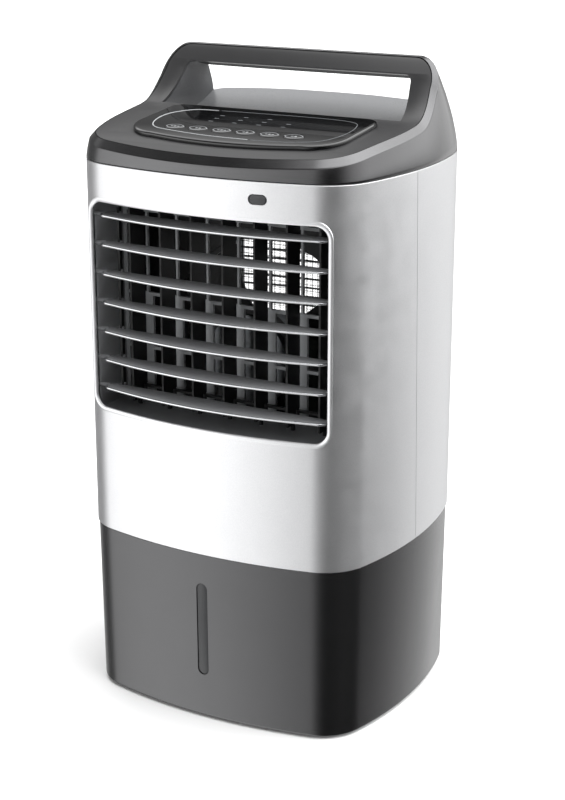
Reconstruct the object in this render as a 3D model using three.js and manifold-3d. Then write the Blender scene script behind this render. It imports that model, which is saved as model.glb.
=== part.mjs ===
// Evaporative air cooler: a water tank, a louvred body and a top with a carrying handle.
// Millimetres. +Z up, -Y is the front (air outlet), +X is to the right of someone facing it.
// The origin is on the floor, under the middle of the body.
import * as THREE from "three";
import { mergeVertices } from "three/addons/utils/BufferGeometryUtils.js";
import Module from "manifold-3d";

const wasm = await Module();
wasm.setup();

// ---------------------------------------------------------------- driving dimensions

// Body in plan: a front and a back arc, two side arcs and four round corners.
const BODY_WIDTH = 300;
const BODY_DEPTH = 267;
const FRONT_RADIUS = 450 * (BODY_WIDTH / 300) ** 2;
const SIDE_RADIUS = 349 * (BODY_DEPTH / 267) ** 2;
const CORNER_RADIUS = 46.7;
const WALL = 2.5;

// Heights above the floor.
const FOOT_DROP = 2;
const TANK_HEIGHT = 159.4;
const BODY_HEIGHT = 338.7;
const SEAM_GAP = 0.6;
const TANK_TOP = FOOT_DROP + TANK_HEIGHT;
const BODY_BOTTOM = TANK_TOP + SEAM_GAP;
const BODY_TOP = BODY_BOTTOM + BODY_HEIGHT - SEAM_GAP;
const TOP_BASE = BODY_TOP + SEAM_GAP;

const FIT = 0.4; // gap between fixed neighbours
const RUN = 0.3; // gap round a turning pin

// Tank.
const TANK_WALL = 2.6;
const TANK_FLOOR = 5;
const TANK_TOP_INSET = 1.2;
const TANK_BOTTOM_INSET = 2.8;
const TANK_EDGE = 3;
const LEVEL_WIDTH = 10.5;
const LEVEL_LOW = 44;
const LEVEL_HIGH = 133;
const FOOT_RADIUS = 9;
const FOOT_X = BODY_WIDTH / 2 - 58;
const FOOT_Y = BODY_DEPTH / 2 - 49.5;
const DRAIN_RADIUS = 7;
const DRAIN_Z = 20;

// Shell split and rear cover.
const SPLIT_Y_LOW = 129.5 - BODY_DEPTH / 2;
const SPLIT_Y_HIGH = 116.5 - BODY_DEPTH / 2;
const COVER_Y = BODY_DEPTH / 2 - 49.5;
const COVER_LOW = BODY_BOTTOM + 15.5;
const COVER_HIGH = BODY_TOP - 15;
const SLAT_PITCH = 9;
const SLAT_THICK = 2;
const SLAT_RISE = 0.27;
const GRILLE_HALF = BODY_WIDTH / 2 - 47;
const GRILLE_COLUMNS = 4;
const RIB_WIDTH = 4;
const SCREW_RADIUS = 1.5;
const SCREW_HEAD = 3.4;
const SCREW_X = BODY_WIDTH / 2 - 88;
const SCREW_LOW = BODY_BOTTOM + 8;
const SCREW_HIGH = BODY_TOP - 7.5;
const GLAND_X = 54 - BODY_WIDTH / 2;
const GLAND_Z = BODY_BOTTOM + 9.5;
const GLAND_RADIUS = 4.5;

// Air outlet.
const OUTLET_HALF = BODY_WIDTH / 2 - 30;
const OUTLET_LOW = BODY_BOTTOM + 114.5;
const OUTLET_HIGH = BODY_TOP - 31.1;
const OUTLET_RADIUS = 14;
const LIP_RADIUS = 2.4;
const LIP_INSET = 0.4;
const FRAME_WALL = 2.5;
const LOUVRES = 7;
const LOUVRE_LOW_GAP = 18.5;
const LOUVRE_HIGH_GAP = 16.2;
const LOUVRE_FIRST = OUTLET_LOW + LOUVRE_LOW_GAP;
const LOUVRE_PITCH = (OUTLET_HIGH - LOUVRE_HIGH_GAP - LOUVRE_FIRST) / (LOUVRES - 1);
const LOUVRE_THICK = 2.2;
const LOUVRE_INSET = 5;
const LOUVRE_END_GAP = 6;
const LOUVRE_ROUND = 9;
const LOUVRE_PIVOT = -BODY_DEPTH / 2 + 28.5;
const LOUVRE_REAR = LOUVRE_PIVOT + 4;
const PIN_RADIUS = 2;
const PIN_SHORT = 1.2; // how far a louvre's pin stays inside the frame's outer face
const LINK_LEVER = 10.5;
const LINK_PIN_RADIUS = 1.3;
const LINK_WIDTH = 4.4;
const LINK_THICK = 2;
const LINK_X = 16 - OUTLET_HALF;
const VANES = 7;
const VANE_PITCH = (2 * OUTLET_HALF - 16) / VANES;
const VANE_THICK = 1.8;
const VANE_CHORD = 22;
const VANE_PIVOT = LOUVRE_PIVOT + 25;
const VANE_LEVER = 9;
const VANE_LINK_RISE = 10;
const FRAME_REAR = VANE_PIVOT + 20;
const FRAME_HALF = OUTLET_HALF + 1.5;
const FRAME_LOW = OUTLET_LOW - 3;
const FRAME_HIGH = OUTLET_HIGH + 1.5;
const VANE_LOW = FRAME_LOW + 5;
const VANE_HIGH = FRAME_HIGH - 3;
const VANE_LINK_Z = VANE_LOW + VANE_LINK_RISE;
const SWING_MOTOR_TOP = FRAME_LOW - FRAME_WALL - FIT;
const SWING_MOTOR_RADIUS = 14;
const SWING_MOTOR_HEIGHT = 22;
const SWING_SHAFT = 1.6;
const GUARD_Y = FRAME_REAR - 4;
const GUARD_THICK = 3;
const GUARD_BAR = 11;
const GUARD_WIRE = 2;
const RECEIVER_X = 58;
const RECEIVER_Z = BODY_TOP - 14.7;
const RECEIVER_WIDTH = 16;
const RECEIVER_HEIGHT = 8;

// Fan.
const FAN_Z = BODY_BOTTOM + 160;
const FAN_RADIUS = 100;
const HUB_RADIUS = 30;
const BLADES = 3;
const BLADE_SPAN = 38;
const BRACKET_ARMS = 3;
const FAN_DEPTH = 24;
const SHROUD_Y = FRAME_REAR + 46;
const FAN_Y = SHROUD_Y + 3;
const DUCT_DEPTH = 30;
const MOTOR_RADIUS = 40;
const MOTOR_LENGTH = 34;
const SHAFT_RADIUS = 4;

// Water path.
const CURTAIN_HALF = BODY_WIDTH / 2 - 38;
const CURTAIN_LOW = BODY_BOTTOM + 22;
const CURTAIN_HIGH = BODY_TOP - 36.1;
const CURTAIN_Y = COVER_Y + 6;
const CURTAIN_DEPTH = 12;
const CURTAIN_RIM = 7;
const PUMP_X = BODY_WIDTH / 2 - 75;
const PUMP_Y = COVER_Y - 16;
const PUMP_RADIUS = 24;
const PUMP_HEIGHT = 52;
const HOSE_RADIUS = 4.5;
const SPRAY_LOW = CURTAIN_HIGH + 6;
const SPRAY_HIGH = SPRAY_LOW + 13;
const FLOAT_X = 80 - BODY_WIDTH / 2;
const FLOAT_Y = COVER_Y - 24;
const FLOAT_STEM = 3;
const FLOAT_RADIUS = 13;
const FLOAT_LOW = FOOT_DROP + TANK_FLOOR + 6;
const FLOAT_HEIGHT = 18;
const FLOAT_TRAVEL = 16;

// Top: deck, handle and control panel.
const CHAMFER = 5.5;
const DECK_PLATE = 2.6;
const RIDGE_BACK = 2.5;
const LEAN = 0.09;
const HANDLE_CORNER_X = BODY_WIDTH / 2 - 33;
const HANDLE_CORNER_RISE = 62.9;
const HANDLE_CORNER_RADIUS = 24.2;
const DEPTH_SCALE = BODY_DEPTH / 267; // the side profiles are drawn for this depth
const HANDLE_START_Y = 35 * DEPTH_SCALE;
const GRIP_HALF_LOW = BODY_WIDTH / 2 - 28;
const GRIP_HALF_HIGH = BODY_WIDTH / 2 - 34;
const GRIP_ROUND = 8;
const PANEL_X = 5;
const PANEL_HALF = BODY_WIDTH / 2 - 45;
const PANEL_FRONT = -BODY_DEPTH / 2 + 28.5;
const PANEL_BACK = PANEL_FRONT + 101;
const PANEL_ROUND = 32;
const PANEL_BACK_ROUND = 14;
const PANEL_BOW = 8;
const PANEL_RISE = 4;
const PANEL_BEVEL = 5;
const KEYS = 6;
const KEY_PITCH = 0.224 * PANEL_HALF;
const KEY_X = 4.5;
const KEY_Y = PANEL_FRONT + 28;
const KEY_LENGTH = 0.8 * KEY_PITCH;
const KEY_WIDTH = 14;
const KEY_STEM = 10;
const KEY_TRAVEL = 0.8;

// Side profiles of the top, as [y, height above its base].
const DECK_PROFILE = [
  [-140, 12.6],
  [-127, 15.6],
  [-100, 21.6],
  [-66, 27.1],
  [-17, 32.6],
  [5, 36.6],
  [20, 46.1],
  [32, 60.1],
  [40, 71.6],
  [48, 84.5],
  [52, 91],
];
const SCOOP_PROFILE = [
  [4, 36.4],
  [8, 34.5],
  [20, 28],
  [45, 24],
  [70, 27.5],
  [88, 34],
  [105, 42],
  [140, 42],
];
const BAR_PROFILE = [
  [140, 62],
  [84, 62],
  [52, 68.9],
  [39.5, 71.6],
  [4, 71.6],
];
const HOLLOW_PROFILE = [
  [-128, -10],
  [118, -10],
  [118, 10],
  [95, 19],
  [45, 19],
  [5, 22],
  [-17, 25],
  [-66, 19.5],
  [-110, 12],
  [-128, 8],
];

// ---------------------------------------------------------------- solids and meshes

const cooler = new THREE.Group();
cooler.name = "evaporative_air_cooler";

// Finishes: colour, roughness, metalness.
const FINISHES = {
  gloss_graphite: ["#3c3e41", 0.25, 0],
  silver_paint: ["#c9ccd0", 0.35, 0.6],
  satin_black: ["#17181a", 0.5, 0],
  dark_grey: ["#45474a", 0.45, 0],
  smoked: ["#22252a", 0.15, 0],
  rubber: ["#202020", 0.9, 0],
  steel: ["#a7aaad", 0.35, 1],
  motor_grey: ["#6d7073", 0.5, 0.4],
  net: ["#2b2d30", 0.8, 0],
  curtain: ["#6f7a70", 0.9, 0],
  circuit: ["#1f5b38", 0.6, 0],
  clear_hose: ["#b9bcbb", 0.4, 0],
};

function solidOf(geometry) {
  const bare = new THREE.BufferGeometry();
  const flat = geometry.index ? geometry : geometry.clone();
  bare.setAttribute("position", flat.getAttribute("position"));
  if (flat.index) bare.setIndex(flat.index);
  const merged = mergeVertices(bare, 1e-4);
  return new wasm.Manifold(
    new wasm.Mesh({
      numProp: 3,
      vertProperties: new Float32Array(merged.attributes.position.array),
      triVerts: new Uint32Array(merged.index.array),
    }),
  );
}

// Points of a solid that are closer than a thousandth of a millimetre become one point.
function geometryOf(solid) {
  const mesh = solid.getMesh();
  const bare = new THREE.BufferGeometry();
  bare.setAttribute("position", new THREE.BufferAttribute(mesh.vertProperties, 3));
  bare.setIndex(new THREE.BufferAttribute(mesh.triVerts, 1));
  const geometry = mergeVertices(bare, 1e-3);
  const corners = Array.from(geometry.index.array);
  const faces = [];
  for (let i = 0; i < corners.length; i += 3) {
    const face = corners.slice(i, i + 3);
    if (new Set(face).size === 3) faces.push(...face);
  }
  geometry.setIndex(faces);
  geometry.computeVertexNormals();
  return geometry;
}

function addPart(name, finish, shape, position = [0, 0, 0]) {
  const geometry = shape.isBufferGeometry ? shape : geometryOf(shape);
  const [color, roughness, metalness] = FINISHES[finish];
  const material = new THREE.MeshStandardMaterial({ color, roughness, metalness });
  const mesh = new THREE.Mesh(geometry, material);
  mesh.name = name;
  mesh.position.set(...position);
  cooler.add(mesh);
  return mesh;
}

const union = (...solids) => solids.reduce((all, next) => all.add(next));
const cut = (solid, ...tools) => tools.reduce((left, tool) => left.subtract(tool), solid);

// A box from its lowest to its highest corner.
function box(low, high) {
  const size = high.map((value, i) => value - low[i]);
  const middle = high.map((value, i) => (value + low[i]) / 2);
  return solidOf(new THREE.BoxGeometry(...size).translate(...middle));
}

// A cylinder along an axis, from one end point over a length.
function rod(radius, from, length, axis, sides = 12) {
  const geometry = new THREE.CylinderGeometry(radius, radius, length, sides);
  geometry.translate(0, length / 2, 0);
  if (axis === "x") geometry.rotateZ(-Math.PI / 2);
  if (axis === "z") geometry.rotateX(Math.PI / 2);
  return solidOf(geometry.translate(...from));
}

// A flat outline in XZ, standing up and running along Y.
function prismY(shape, fromY, toY, curveSegments = 3) {
  const settings = { depth: toY - fromY, bevelEnabled: false, curveSegments };
  const geometry = new THREE.ExtrudeGeometry(shape, settings);
  geometry.rotateX(Math.PI / 2);
  return solidOf(geometry.translate(0, toY, 0));
}

// A flat outline given in YZ, running along X.
function prismX(points, fromX, toX) {
  const shape = new THREE.Shape(points.map(([y, z]) => new THREE.Vector2(y, z)));
  const settings = { depth: toX - fromX, bevelEnabled: false };
  const geometry = new THREE.ExtrudeGeometry(shape, settings);
  const turn = new THREE.Matrix4().makeBasis(
    new THREE.Vector3(0, 1, 0),
    new THREE.Vector3(0, 0, 1),
    new THREE.Vector3(1, 0, 0),
  );
  geometry.applyMatrix4(turn);
  return solidOf(geometry.translate(fromX, 0, 0));
}

// A flat outline in XY, running along Z.
function prismZ(shape, fromZ, toZ, curveSegments = 3) {
  const settings = { depth: toZ - fromZ, bevelEnabled: false, curveSegments };
  return solidOf(new THREE.ExtrudeGeometry(shape, settings).translate(0, 0, fromZ));
}

function roundedRect(left, bottom, right, top, radius) {
  const shape = new THREE.Shape();
  shape.absarc(right - radius, bottom + radius, radius, -Math.PI / 2, 0);
  shape.absarc(right - radius, top - radius, radius, 0, Math.PI / 2);
  shape.absarc(left + radius, top - radius, radius, Math.PI / 2, Math.PI);
  shape.absarc(left + radius, bottom + radius, radius, Math.PI, 1.5 * Math.PI);
  return shape;
}

// Joins rings of points, each the same length, into one closed skin. The first and last rings
// are capped flat in plan, unless the skin closes on itself.
function skin(rings, closed = false) {
  const count = rings[0].length;
  const positions = rings.flat().flatMap((p) => [p.x, p.y, p.z]);
  const faces = [];
  const last = closed ? rings.length : rings.length - 1;
  for (let r = 0; r < last; r++) {
    const a = r * count;
    const b = ((r + 1) % rings.length) * count;
    for (let i = 0; i < count; i++) {
      const j = (i + 1) % count;
      faces.push(a + i, a + j, b + j, a + i, b + j, b + i);
    }
  }
  if (!closed) {
    const top = (rings.length - 1) * count;
    for (const [i, j, k] of capOf(rings[0])) faces.push(i, k, j);
    for (const [i, j, k] of capOf(rings.at(-1))) faces.push(top + i, top + j, top + k);
  }
  return indexed(positions, faces);
}

function capOf(ring) {
  return THREE.ShapeUtils.triangulateShape(ring.map((p) => new THREE.Vector2(p.x, p.y)), []);
}

function indexed(positions, faces) {
  const geometry = new THREE.BufferGeometry();
  geometry.setAttribute("position", new THREE.Float32BufferAttribute(positions, 3));
  geometry.setIndex(faces);
  return geometry;
}

// ---------------------------------------------------------------- the plan outline

const FRONT_CENTRE = new THREE.Vector2(0, -BODY_DEPTH / 2 + FRONT_RADIUS);
const SIDE_CENTRE = new THREE.Vector2(BODY_WIDTH / 2 - SIDE_RADIUS, 0);

// Centre of the corner arc that touches the front arc and the side arc from inside.
function cornerCentre() {
  const toFront = FRONT_RADIUS - CORNER_RADIUS;
  const toSide = SIDE_RADIUS - CORNER_RADIUS;
  const line = SIDE_CENTRE.clone().sub(FRONT_CENTRE);
  const span = line.length();
  const along = (toFront ** 2 - toSide ** 2 + span ** 2) / (2 * span);
  const across = Math.sqrt(toFront ** 2 - along ** 2);
  line.normalize();
  const foot = FRONT_CENTRE.clone().addScaledVector(line, along);
  return foot.add(new THREE.Vector2(-line.y, line.x).multiplyScalar(across));
}

const CORNER = cornerCentre();
const FRONT_ANGLE = CORNER.clone().sub(FRONT_CENTRE).angle() - 2 * Math.PI;
const SIDE_ANGLE = CORNER.clone().sub(SIDE_CENTRE).angle() - 2 * Math.PI;
const HANDLE_ANGLE = Math.asin(HANDLE_START_Y / SIDE_RADIUS);

// The right half of the plan as arcs [centre, radius, from, to, steps], front middle to back.
const mirrorY = (centre) => new THREE.Vector2(centre.x, -centre.y);
const HALF_PLAN = [
  [FRONT_CENTRE, FRONT_RADIUS, -Math.PI / 2, FRONT_ANGLE, 5],
  [CORNER, CORNER_RADIUS, FRONT_ANGLE, SIDE_ANGLE, 5],
  [SIDE_CENTRE, SIDE_RADIUS, SIDE_ANGLE, HANDLE_ANGLE, 5],
  [SIDE_CENTRE, SIDE_RADIUS, HANDLE_ANGLE, -SIDE_ANGLE, 1],
  [mirrorY(CORNER), CORNER_RADIUS, -SIDE_ANGLE, -FRONT_ANGLE, 5],
  [mirrorY(FRONT_CENTRE), FRONT_RADIUS, -FRONT_ANGLE, Math.PI / 2, 3],
];
// Stations from the front middle to the foot of the handle's corner.
const FACE_STATIONS = HALF_PLAN.slice(0, 3).reduce((sum, arc) => sum + arc[4], 0);

function halfOutline(inset) {
  const points = [];
  for (const [centre, radius, from, to, steps] of HALF_PLAN) {
    for (let i = points.length ? 1 : 0; i <= steps; i++) {
      const angle = from + ((to - from) * i) / steps;
      const reach = radius - inset;
      const x = centre.x + reach * Math.cos(angle);
      points.push(new THREE.Vector2(Math.max(0, x), centre.y + reach * Math.sin(angle)));
    }
  }
  points[0].x = 0;
  points.at(-1).x = 0;
  return points;
}

// A whole ring from its right half: the first and last points lie on the middle plane.
function wholeRing(half) {
  const left = half.slice(1, -1).reverse();
  return [...half, ...left.map((p) => new THREE.Vector3(-p.x, p.y, p.z))];
}

function planRing(inset, z) {
  return wholeRing(halfOutline(inset).map((p) => new THREE.Vector3(p.x, p.y, z)));
}

const planPrism = (inset, low, high) =>
  solidOf(skin([planRing(inset, low), planRing(inset, high)]));

// The front face of the body at a given x, moved inwards by an inset.
const frontY = (x, inset = 0) =>
  FRONT_CENTRE.y - Math.sqrt((FRONT_RADIUS - inset) ** 2 - x * x);

// ---------------------------------------------------------------- tank

const tankInset = (z) =>
  THREE.MathUtils.mapLinear(z, FOOT_DROP, TANK_TOP, TANK_BOTTOM_INSET, TANK_TOP_INSET);

function tankLoft(extraInset, low, high) {
  return [
    planRing(tankInset(low) + extraInset, low),
    planRing(tankInset(high) + extraInset, high),
  ];
}

function feetSpots() {
  return [-1, 1].flatMap((sx) => [-1, 1].map((sy) => [sx * FOOT_X, sy * FOOT_Y]));
}

function levelShape(grow) {
  const half = LEVEL_WIDTH / 2 + grow;
  return roundedRect(-half, LEVEL_LOW - grow, half, LEVEL_HIGH + grow, half - 0.01);
}

function drainY() {
  return BODY_DEPTH / 2 - tankInset(DRAIN_Z);
}

function makeTank() {
  const floorTop = FOOT_DROP + TANK_FLOOR;
  const edge = planRing(tankInset(FOOT_DROP) + TANK_EDGE, FOOT_DROP);
  const mid = planRing(tankInset(FOOT_DROP) + TANK_EDGE * 0.3, FOOT_DROP + TANK_EDGE * 0.3);
  const [outerLow, outerHigh] = tankLoft(0, FOOT_DROP + TANK_EDGE, TANK_TOP);
  const [innerLow, innerHigh] = tankLoft(TANK_WALL, floorTop, TANK_TOP);
  let tank = solidOf(skin([edge, mid, outerLow, outerHigh, innerHigh, innerLow]));
  tank = cut(tank, prismY(levelShape(FIT), -BODY_DEPTH / 2 - 5, -BODY_DEPTH / 2 + 15));
  const wallMiddle = drainY() - TANK_WALL;
  tank = cut(tank, rod(DRAIN_RADIUS + FIT, [0, wallMiddle - 10, DRAIN_Z], 20, "y", 14));
  for (const [x, y] of feetSpots()) {
    tank = cut(tank, rod(FOOT_RADIUS + FIT, [x, y, FOOT_DROP - 1], 1 + 2.4 + FIT, "z", 14));
  }
  addPart("water_tank", "gloss_graphite", tank);
}

function makeLevelWindow() {
  const outer = solidOf(skin(tankLoft(-0.5, FOOT_DROP + 10, TANK_TOP - 5)));
  const inner = solidOf(skin(tankLoft(TANK_WALL - 0.6, FOOT_DROP + 9, TANK_TOP - 4)));
  const bar = prismY(levelShape(0), -BODY_DEPTH / 2 - 5, -BODY_DEPTH / 2 + 15);
  addPart("level_window", "smoked", cut(bar.intersect(outer), inner));
}

function makeFeet() {
  feetSpots().forEach(([x, y], i) => {
    const profile = [
      [0, 0],
      [FOOT_RADIUS - 1, 0],
      [FOOT_RADIUS, 1],
      [FOOT_RADIUS, FOOT_DROP + 2.4],
      [0, FOOT_DROP + 2.4],
    ].map(([r, z]) => new THREE.Vector2(r, z));
    const foot = new THREE.LatheGeometry(profile, 14);
    addPart(`foot_${i + 1}`, "rubber", foot.rotateX(Math.PI / 2), [x, y, 0]);
  });
}

function makeDrainPlug() {
  const wall = drainY();
  const stem = rod(DRAIN_RADIUS, [0, wall - 8, DRAIN_Z], 8.6, "y", 14);
  const head = rod(DRAIN_RADIUS + 3, [0, wall + FIT, DRAIN_Z], 2.4, "y", 14);
  addPart("drain_plug", "rubber", union(stem, head));
}

// ---------------------------------------------------------------- body shells

// The slanting plane in which the front and rear shells meet.
function shellHalf(side, gap) {
  const far = side * BODY_DEPTH;
  const low = BODY_BOTTOM - 5;
  const high = BODY_TOP + 5;
  const points = [
    [far, low],
    [SPLIT_Y_LOW + side * gap, low],
    [SPLIT_Y_HIGH + side * gap, high],
    [far, high],
  ];
  if (side > 0) points.reverse();
  return prismX(points.reverse(), -BODY_WIDTH, BODY_WIDTH);
}

function shellTube() {
  const rings = [
    planRing(0, BODY_BOTTOM),
    planRing(0, BODY_TOP),
    planRing(WALL, BODY_TOP),
    planRing(WALL, BODY_BOTTOM),
  ];
  return solidOf(skin(rings, true));
}

// The rounded lip round the outlet: a bead that follows the opening and the curved front.
function outletLip() {
  const outline = roundedRect(
    -OUTLET_HALF + LIP_INSET,
    OUTLET_LOW + LIP_INSET,
    OUTLET_HALF - LIP_INSET,
    OUTLET_HIGH - LIP_INSET,
    OUTLET_RADIUS,
  );
  const corners = outline.getPoints(3);
  const path = [];
  corners.forEach((point, i) => {
    const next = corners[(i + 1) % corners.length];
    const steps = Math.abs(next.x - point.x) > 60 ? 8 : 1;
    for (let k = 0; k < steps; k++) path.push(point.clone().lerp(next, k / steps));
  });
  const loop = path.filter((p, i) => p.distanceTo(path.at(i - 1)) > 0.01);
  const rings = loop.map((point, i) => {
    const before = loop.at(i - 1);
    const after = loop[(i + 1) % loop.length];
    const way = after.clone().sub(before).normalize();
    const out = new THREE.Vector2(way.y, -way.x);
    const ring = [];
    for (let k = 0; k < 6; k++) {
      const angle = (k / 6) * 2 * Math.PI;
      const x = point.x + out.x * LIP_RADIUS * Math.cos(angle);
      const z = point.y + out.y * LIP_RADIUS * Math.cos(angle);
      const y = frontY(point.x, WALL / 2) + LIP_RADIUS * Math.sin(angle) * 0.8;
      ring.push(new THREE.Vector3(x, y, z));
    }
    return ring;
  });
  return solidOf(skin(rings, true));
}

function receiverShape(grow) {
  const halfX = RECEIVER_WIDTH / 2 + grow;
  const halfZ = RECEIVER_HEIGHT / 2 + grow;
  return roundedRect(
    RECEIVER_X - halfX,
    RECEIVER_Z - halfZ,
    RECEIVER_X + halfX,
    RECEIVER_Z + halfZ,
    halfZ - 0.01,
  );
}

const outletPrism = (grow, fromY, toY) =>
  prismY(
    roundedRect(
      -OUTLET_HALF - grow,
      OUTLET_LOW - grow,
      OUTLET_HALF + grow,
      OUTLET_HIGH + grow,
      OUTLET_RADIUS + grow,
    ),
    fromY,
    toY,
  );

function makeFrontShell() {
  let shell = shellTube().intersect(shellHalf(-1, SEAM_GAP / 2));
  shell = cut(shell, outletPrism(0, -BODY_DEPTH, FRAME_REAR)).add(outletLip());
  const hole = prismY(receiverShape(FIT), -BODY_DEPTH, FRAME_REAR);
  addPart("front_shell", "silver_paint", cut(shell, hole));
}

function makeReceiverWindow() {
  const front = frontY(RECEIVER_X);
  const bar = prismY(receiverShape(0), front - 3, front + WALL + 3);
  const face = planPrism(0.5, RECEIVER_Z - 20, RECEIVER_Z + 20);
  addPart("receiver_window", "smoked", bar.intersect(face));
}

// The panel behind the rear cover, with the window that the air comes in by.
function intakePanel() {
  const panel = box([-BODY_WIDTH / 2, COVER_Y - 2.4, COVER_LOW - 4], [
    BODY_WIDTH / 2,
    COVER_Y,
    CURTAIN_HIGH + 4,
  ]);
  const window = box([-CURTAIN_HALF - 2, 0, CURTAIN_LOW + 6], [
    CURTAIN_HALF + 2,
    BODY_DEPTH,
    CURTAIN_HIGH - 6,
  ]);
  return cut(panel.intersect(planPrism(WALL / 2, BODY_BOTTOM, BODY_TOP)), window);
}

function makeRearShell() {
  const space = box([-BODY_WIDTH, COVER_Y, COVER_LOW - FIT], [
    BODY_WIDTH,
    BODY_DEPTH,
    COVER_HIGH + FIT,
  ]);
  const tube = shellTube().intersect(shellHalf(1, SEAM_GAP / 2));
  const shell = cut(tube, space).add(intakePanel());
  const glandHole = rod(GLAND_RADIUS + FIT, [GLAND_X, COVER_Y - 24, GLAND_Z], 100, "y", 16);
  const screwHoles = screwSpots().map(([x, z]) =>
    rod(SCREW_RADIUS + FIT, [x, COVER_Y + 16, z], 50, "y", 10),
  );
  addPart("rear_shell", "silver_paint", cut(shell, glandHole, ...screwHoles));
}

const screwSpots = () =>
  [SCREW_LOW, SCREW_HIGH].flatMap((z) => [-1, 1].map((side) => [side * SCREW_X, z]));

// The cord's gland: a short flanged bush in the wall, with the hole for the cord.
function makeCordGland() {
  const outside = -frontY(GLAND_X);
  const bush = rod(GLAND_RADIUS, [GLAND_X, outside - 9, GLAND_Z], 9.5, "y", 16);
  const flange = rod(GLAND_RADIUS + 1.6, [GLAND_X, outside - 9, GLAND_Z], 2.4, "y", 16);
  const bore = rod(GLAND_RADIUS - 1.2, [GLAND_X, outside - 20, GLAND_Z], 40, "y", 16);
  addPart("cord_gland", "satin_black", cut(union(bush, flange), bore));
}

// One sloping gap between two slats, right through the cover in Y.
function slatGap(left, right, z) {
  const near = COVER_Y + 8;
  const far = BODY_DEPTH / 2 + 6;
  const drop = SLAT_RISE * (far - near);
  const high = SLAT_PITCH - SLAT_THICK;
  const points = [
    [near, z],
    [far, z - drop],
    [far, z - drop + high],
    [near, z + high],
  ];
  return prismX(points, left, right);
}

function makeRearCover() {
  const rings = [
    planRing(0, COVER_LOW),
    planRing(0, COVER_HIGH),
    planRing(WALL, COVER_HIGH),
    planRing(WALL, COVER_LOW),
  ];
  const behind = box([-BODY_WIDTH, COVER_Y + FIT, 0], [BODY_WIDTH, BODY_DEPTH, 1000]);
  let cover = solidOf(skin(rings, true)).intersect(behind);
  const columnWidth = (2 * GRILLE_HALF - (GRILLE_COLUMNS - 1) * RIB_WIDTH) / GRILLE_COLUMNS;
  const drop = SLAT_RISE * (BODY_DEPTH / 2 - COVER_Y - 8);
  const first = COVER_LOW + 12 + drop;
  const rows = Math.floor((COVER_HIGH - 14 - first) / SLAT_PITCH);
  for (let column = 0; column < GRILLE_COLUMNS; column++) {
    const left = -GRILLE_HALF + column * (columnWidth + RIB_WIDTH);
    const gaps = [];
    for (let row = 0; row < rows; row++) {
      gaps.push(slatGap(left, left + columnWidth, first + row * SLAT_PITCH));
    }
    cover = cut(cover, ...gaps);
  }
  addPart("rear_filter_cover", "silver_paint", cover);
}

// A tab inside the back wall, which a shell screw runs into.
function screwTab(x, z, low, high) {
  const outside = -frontY(Math.abs(x) + 6) - WALL - FIT;
  const tab = box([x - 6, outside - 4, low], [x + 6, outside, high]);
  return cut(tab, rod(SCREW_RADIUS + RUN, [x, outside - 20, z], 40, "y", 10));
}

function makeShellScrews() {
  screwSpots().forEach(([x, z], i) => {
    const outside = -frontY(Math.abs(x) - SCREW_HEAD) + 0.2;
    const head = rod(SCREW_HEAD, [x, outside, z], 1.6, "y", 16);
    const shank = rod(SCREW_RADIUS, [x, outside - 10, z], 10.5, "y", 10);
    const slot = box([x - 2.2, outside + 0.9, z - 0.4], [x + 2.2, outside + 2, z + 0.4]);
    addPart(`shell_screw_${i + 1}`, "steel", cut(union(head, shank), slot));
  });
}

// ---------------------------------------------------------------- water path

function makeBaseTray() {
  const plate = planPrism(WALL + FIT, BODY_BOTTOM, BODY_BOTTOM + 3);
  const skirtRings = [
    planRing(TANK_TOP_INSET + TANK_WALL + 0.8, TANK_TOP - 10),
    planRing(TANK_TOP_INSET + TANK_WALL + 0.8, BODY_BOTTOM + 1),
    planRing(TANK_TOP_INSET + TANK_WALL + 3, BODY_BOTTOM + 1),
    planRing(TANK_TOP_INSET + TANK_WALL + 3, TANK_TOP - 10),
  ];
  const skirt = solidOf(skin(skirtRings, true));
  const gutter = box([-CURTAIN_HALF + 6, CURTAIN_Y, 0], [
    CURTAIN_HALF - 6,
    CURTAIN_Y + CURTAIN_DEPTH,
    1000,
  ]);
  const hose = rod(HOSE_RADIUS + 2, [PUMP_X, PUMP_Y, 0], 1000, "z", 16);
  const sensor = rod(FLOAT_STEM + RUN, [FLOAT_X, FLOAT_Y, 0], 1000, "z", 12);
  let tray = cut(union(plate, skirt), gutter, hose, sensor);
  for (const side of [-1, 1]) {
    tray = tray.add(screwTab(side * SCREW_X, SCREW_LOW, BODY_BOTTOM + 1, SCREW_LOW + 5));
  }
  addPart("base_tray", "satin_black", tray);
}

function makePump() {
  const bottom = FOOT_DROP + TANK_FLOOR + 4;
  const body = rod(PUMP_RADIUS, [PUMP_X, PUMP_Y, bottom], PUMP_HEIGHT, "z", 24);
  const spoutRadius = HOSE_RADIUS - 1;
  const spout = rod(spoutRadius, [PUMP_X, PUMP_Y, bottom + PUMP_HEIGHT - 1], 11, "z", 12);
  const strainer = rod(PUMP_RADIUS - 4, [PUMP_X, PUMP_Y, bottom - 2.5], 4, "z", 24);
  addPart("pump", "satin_black", union(body, spout, strainer));
}

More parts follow.
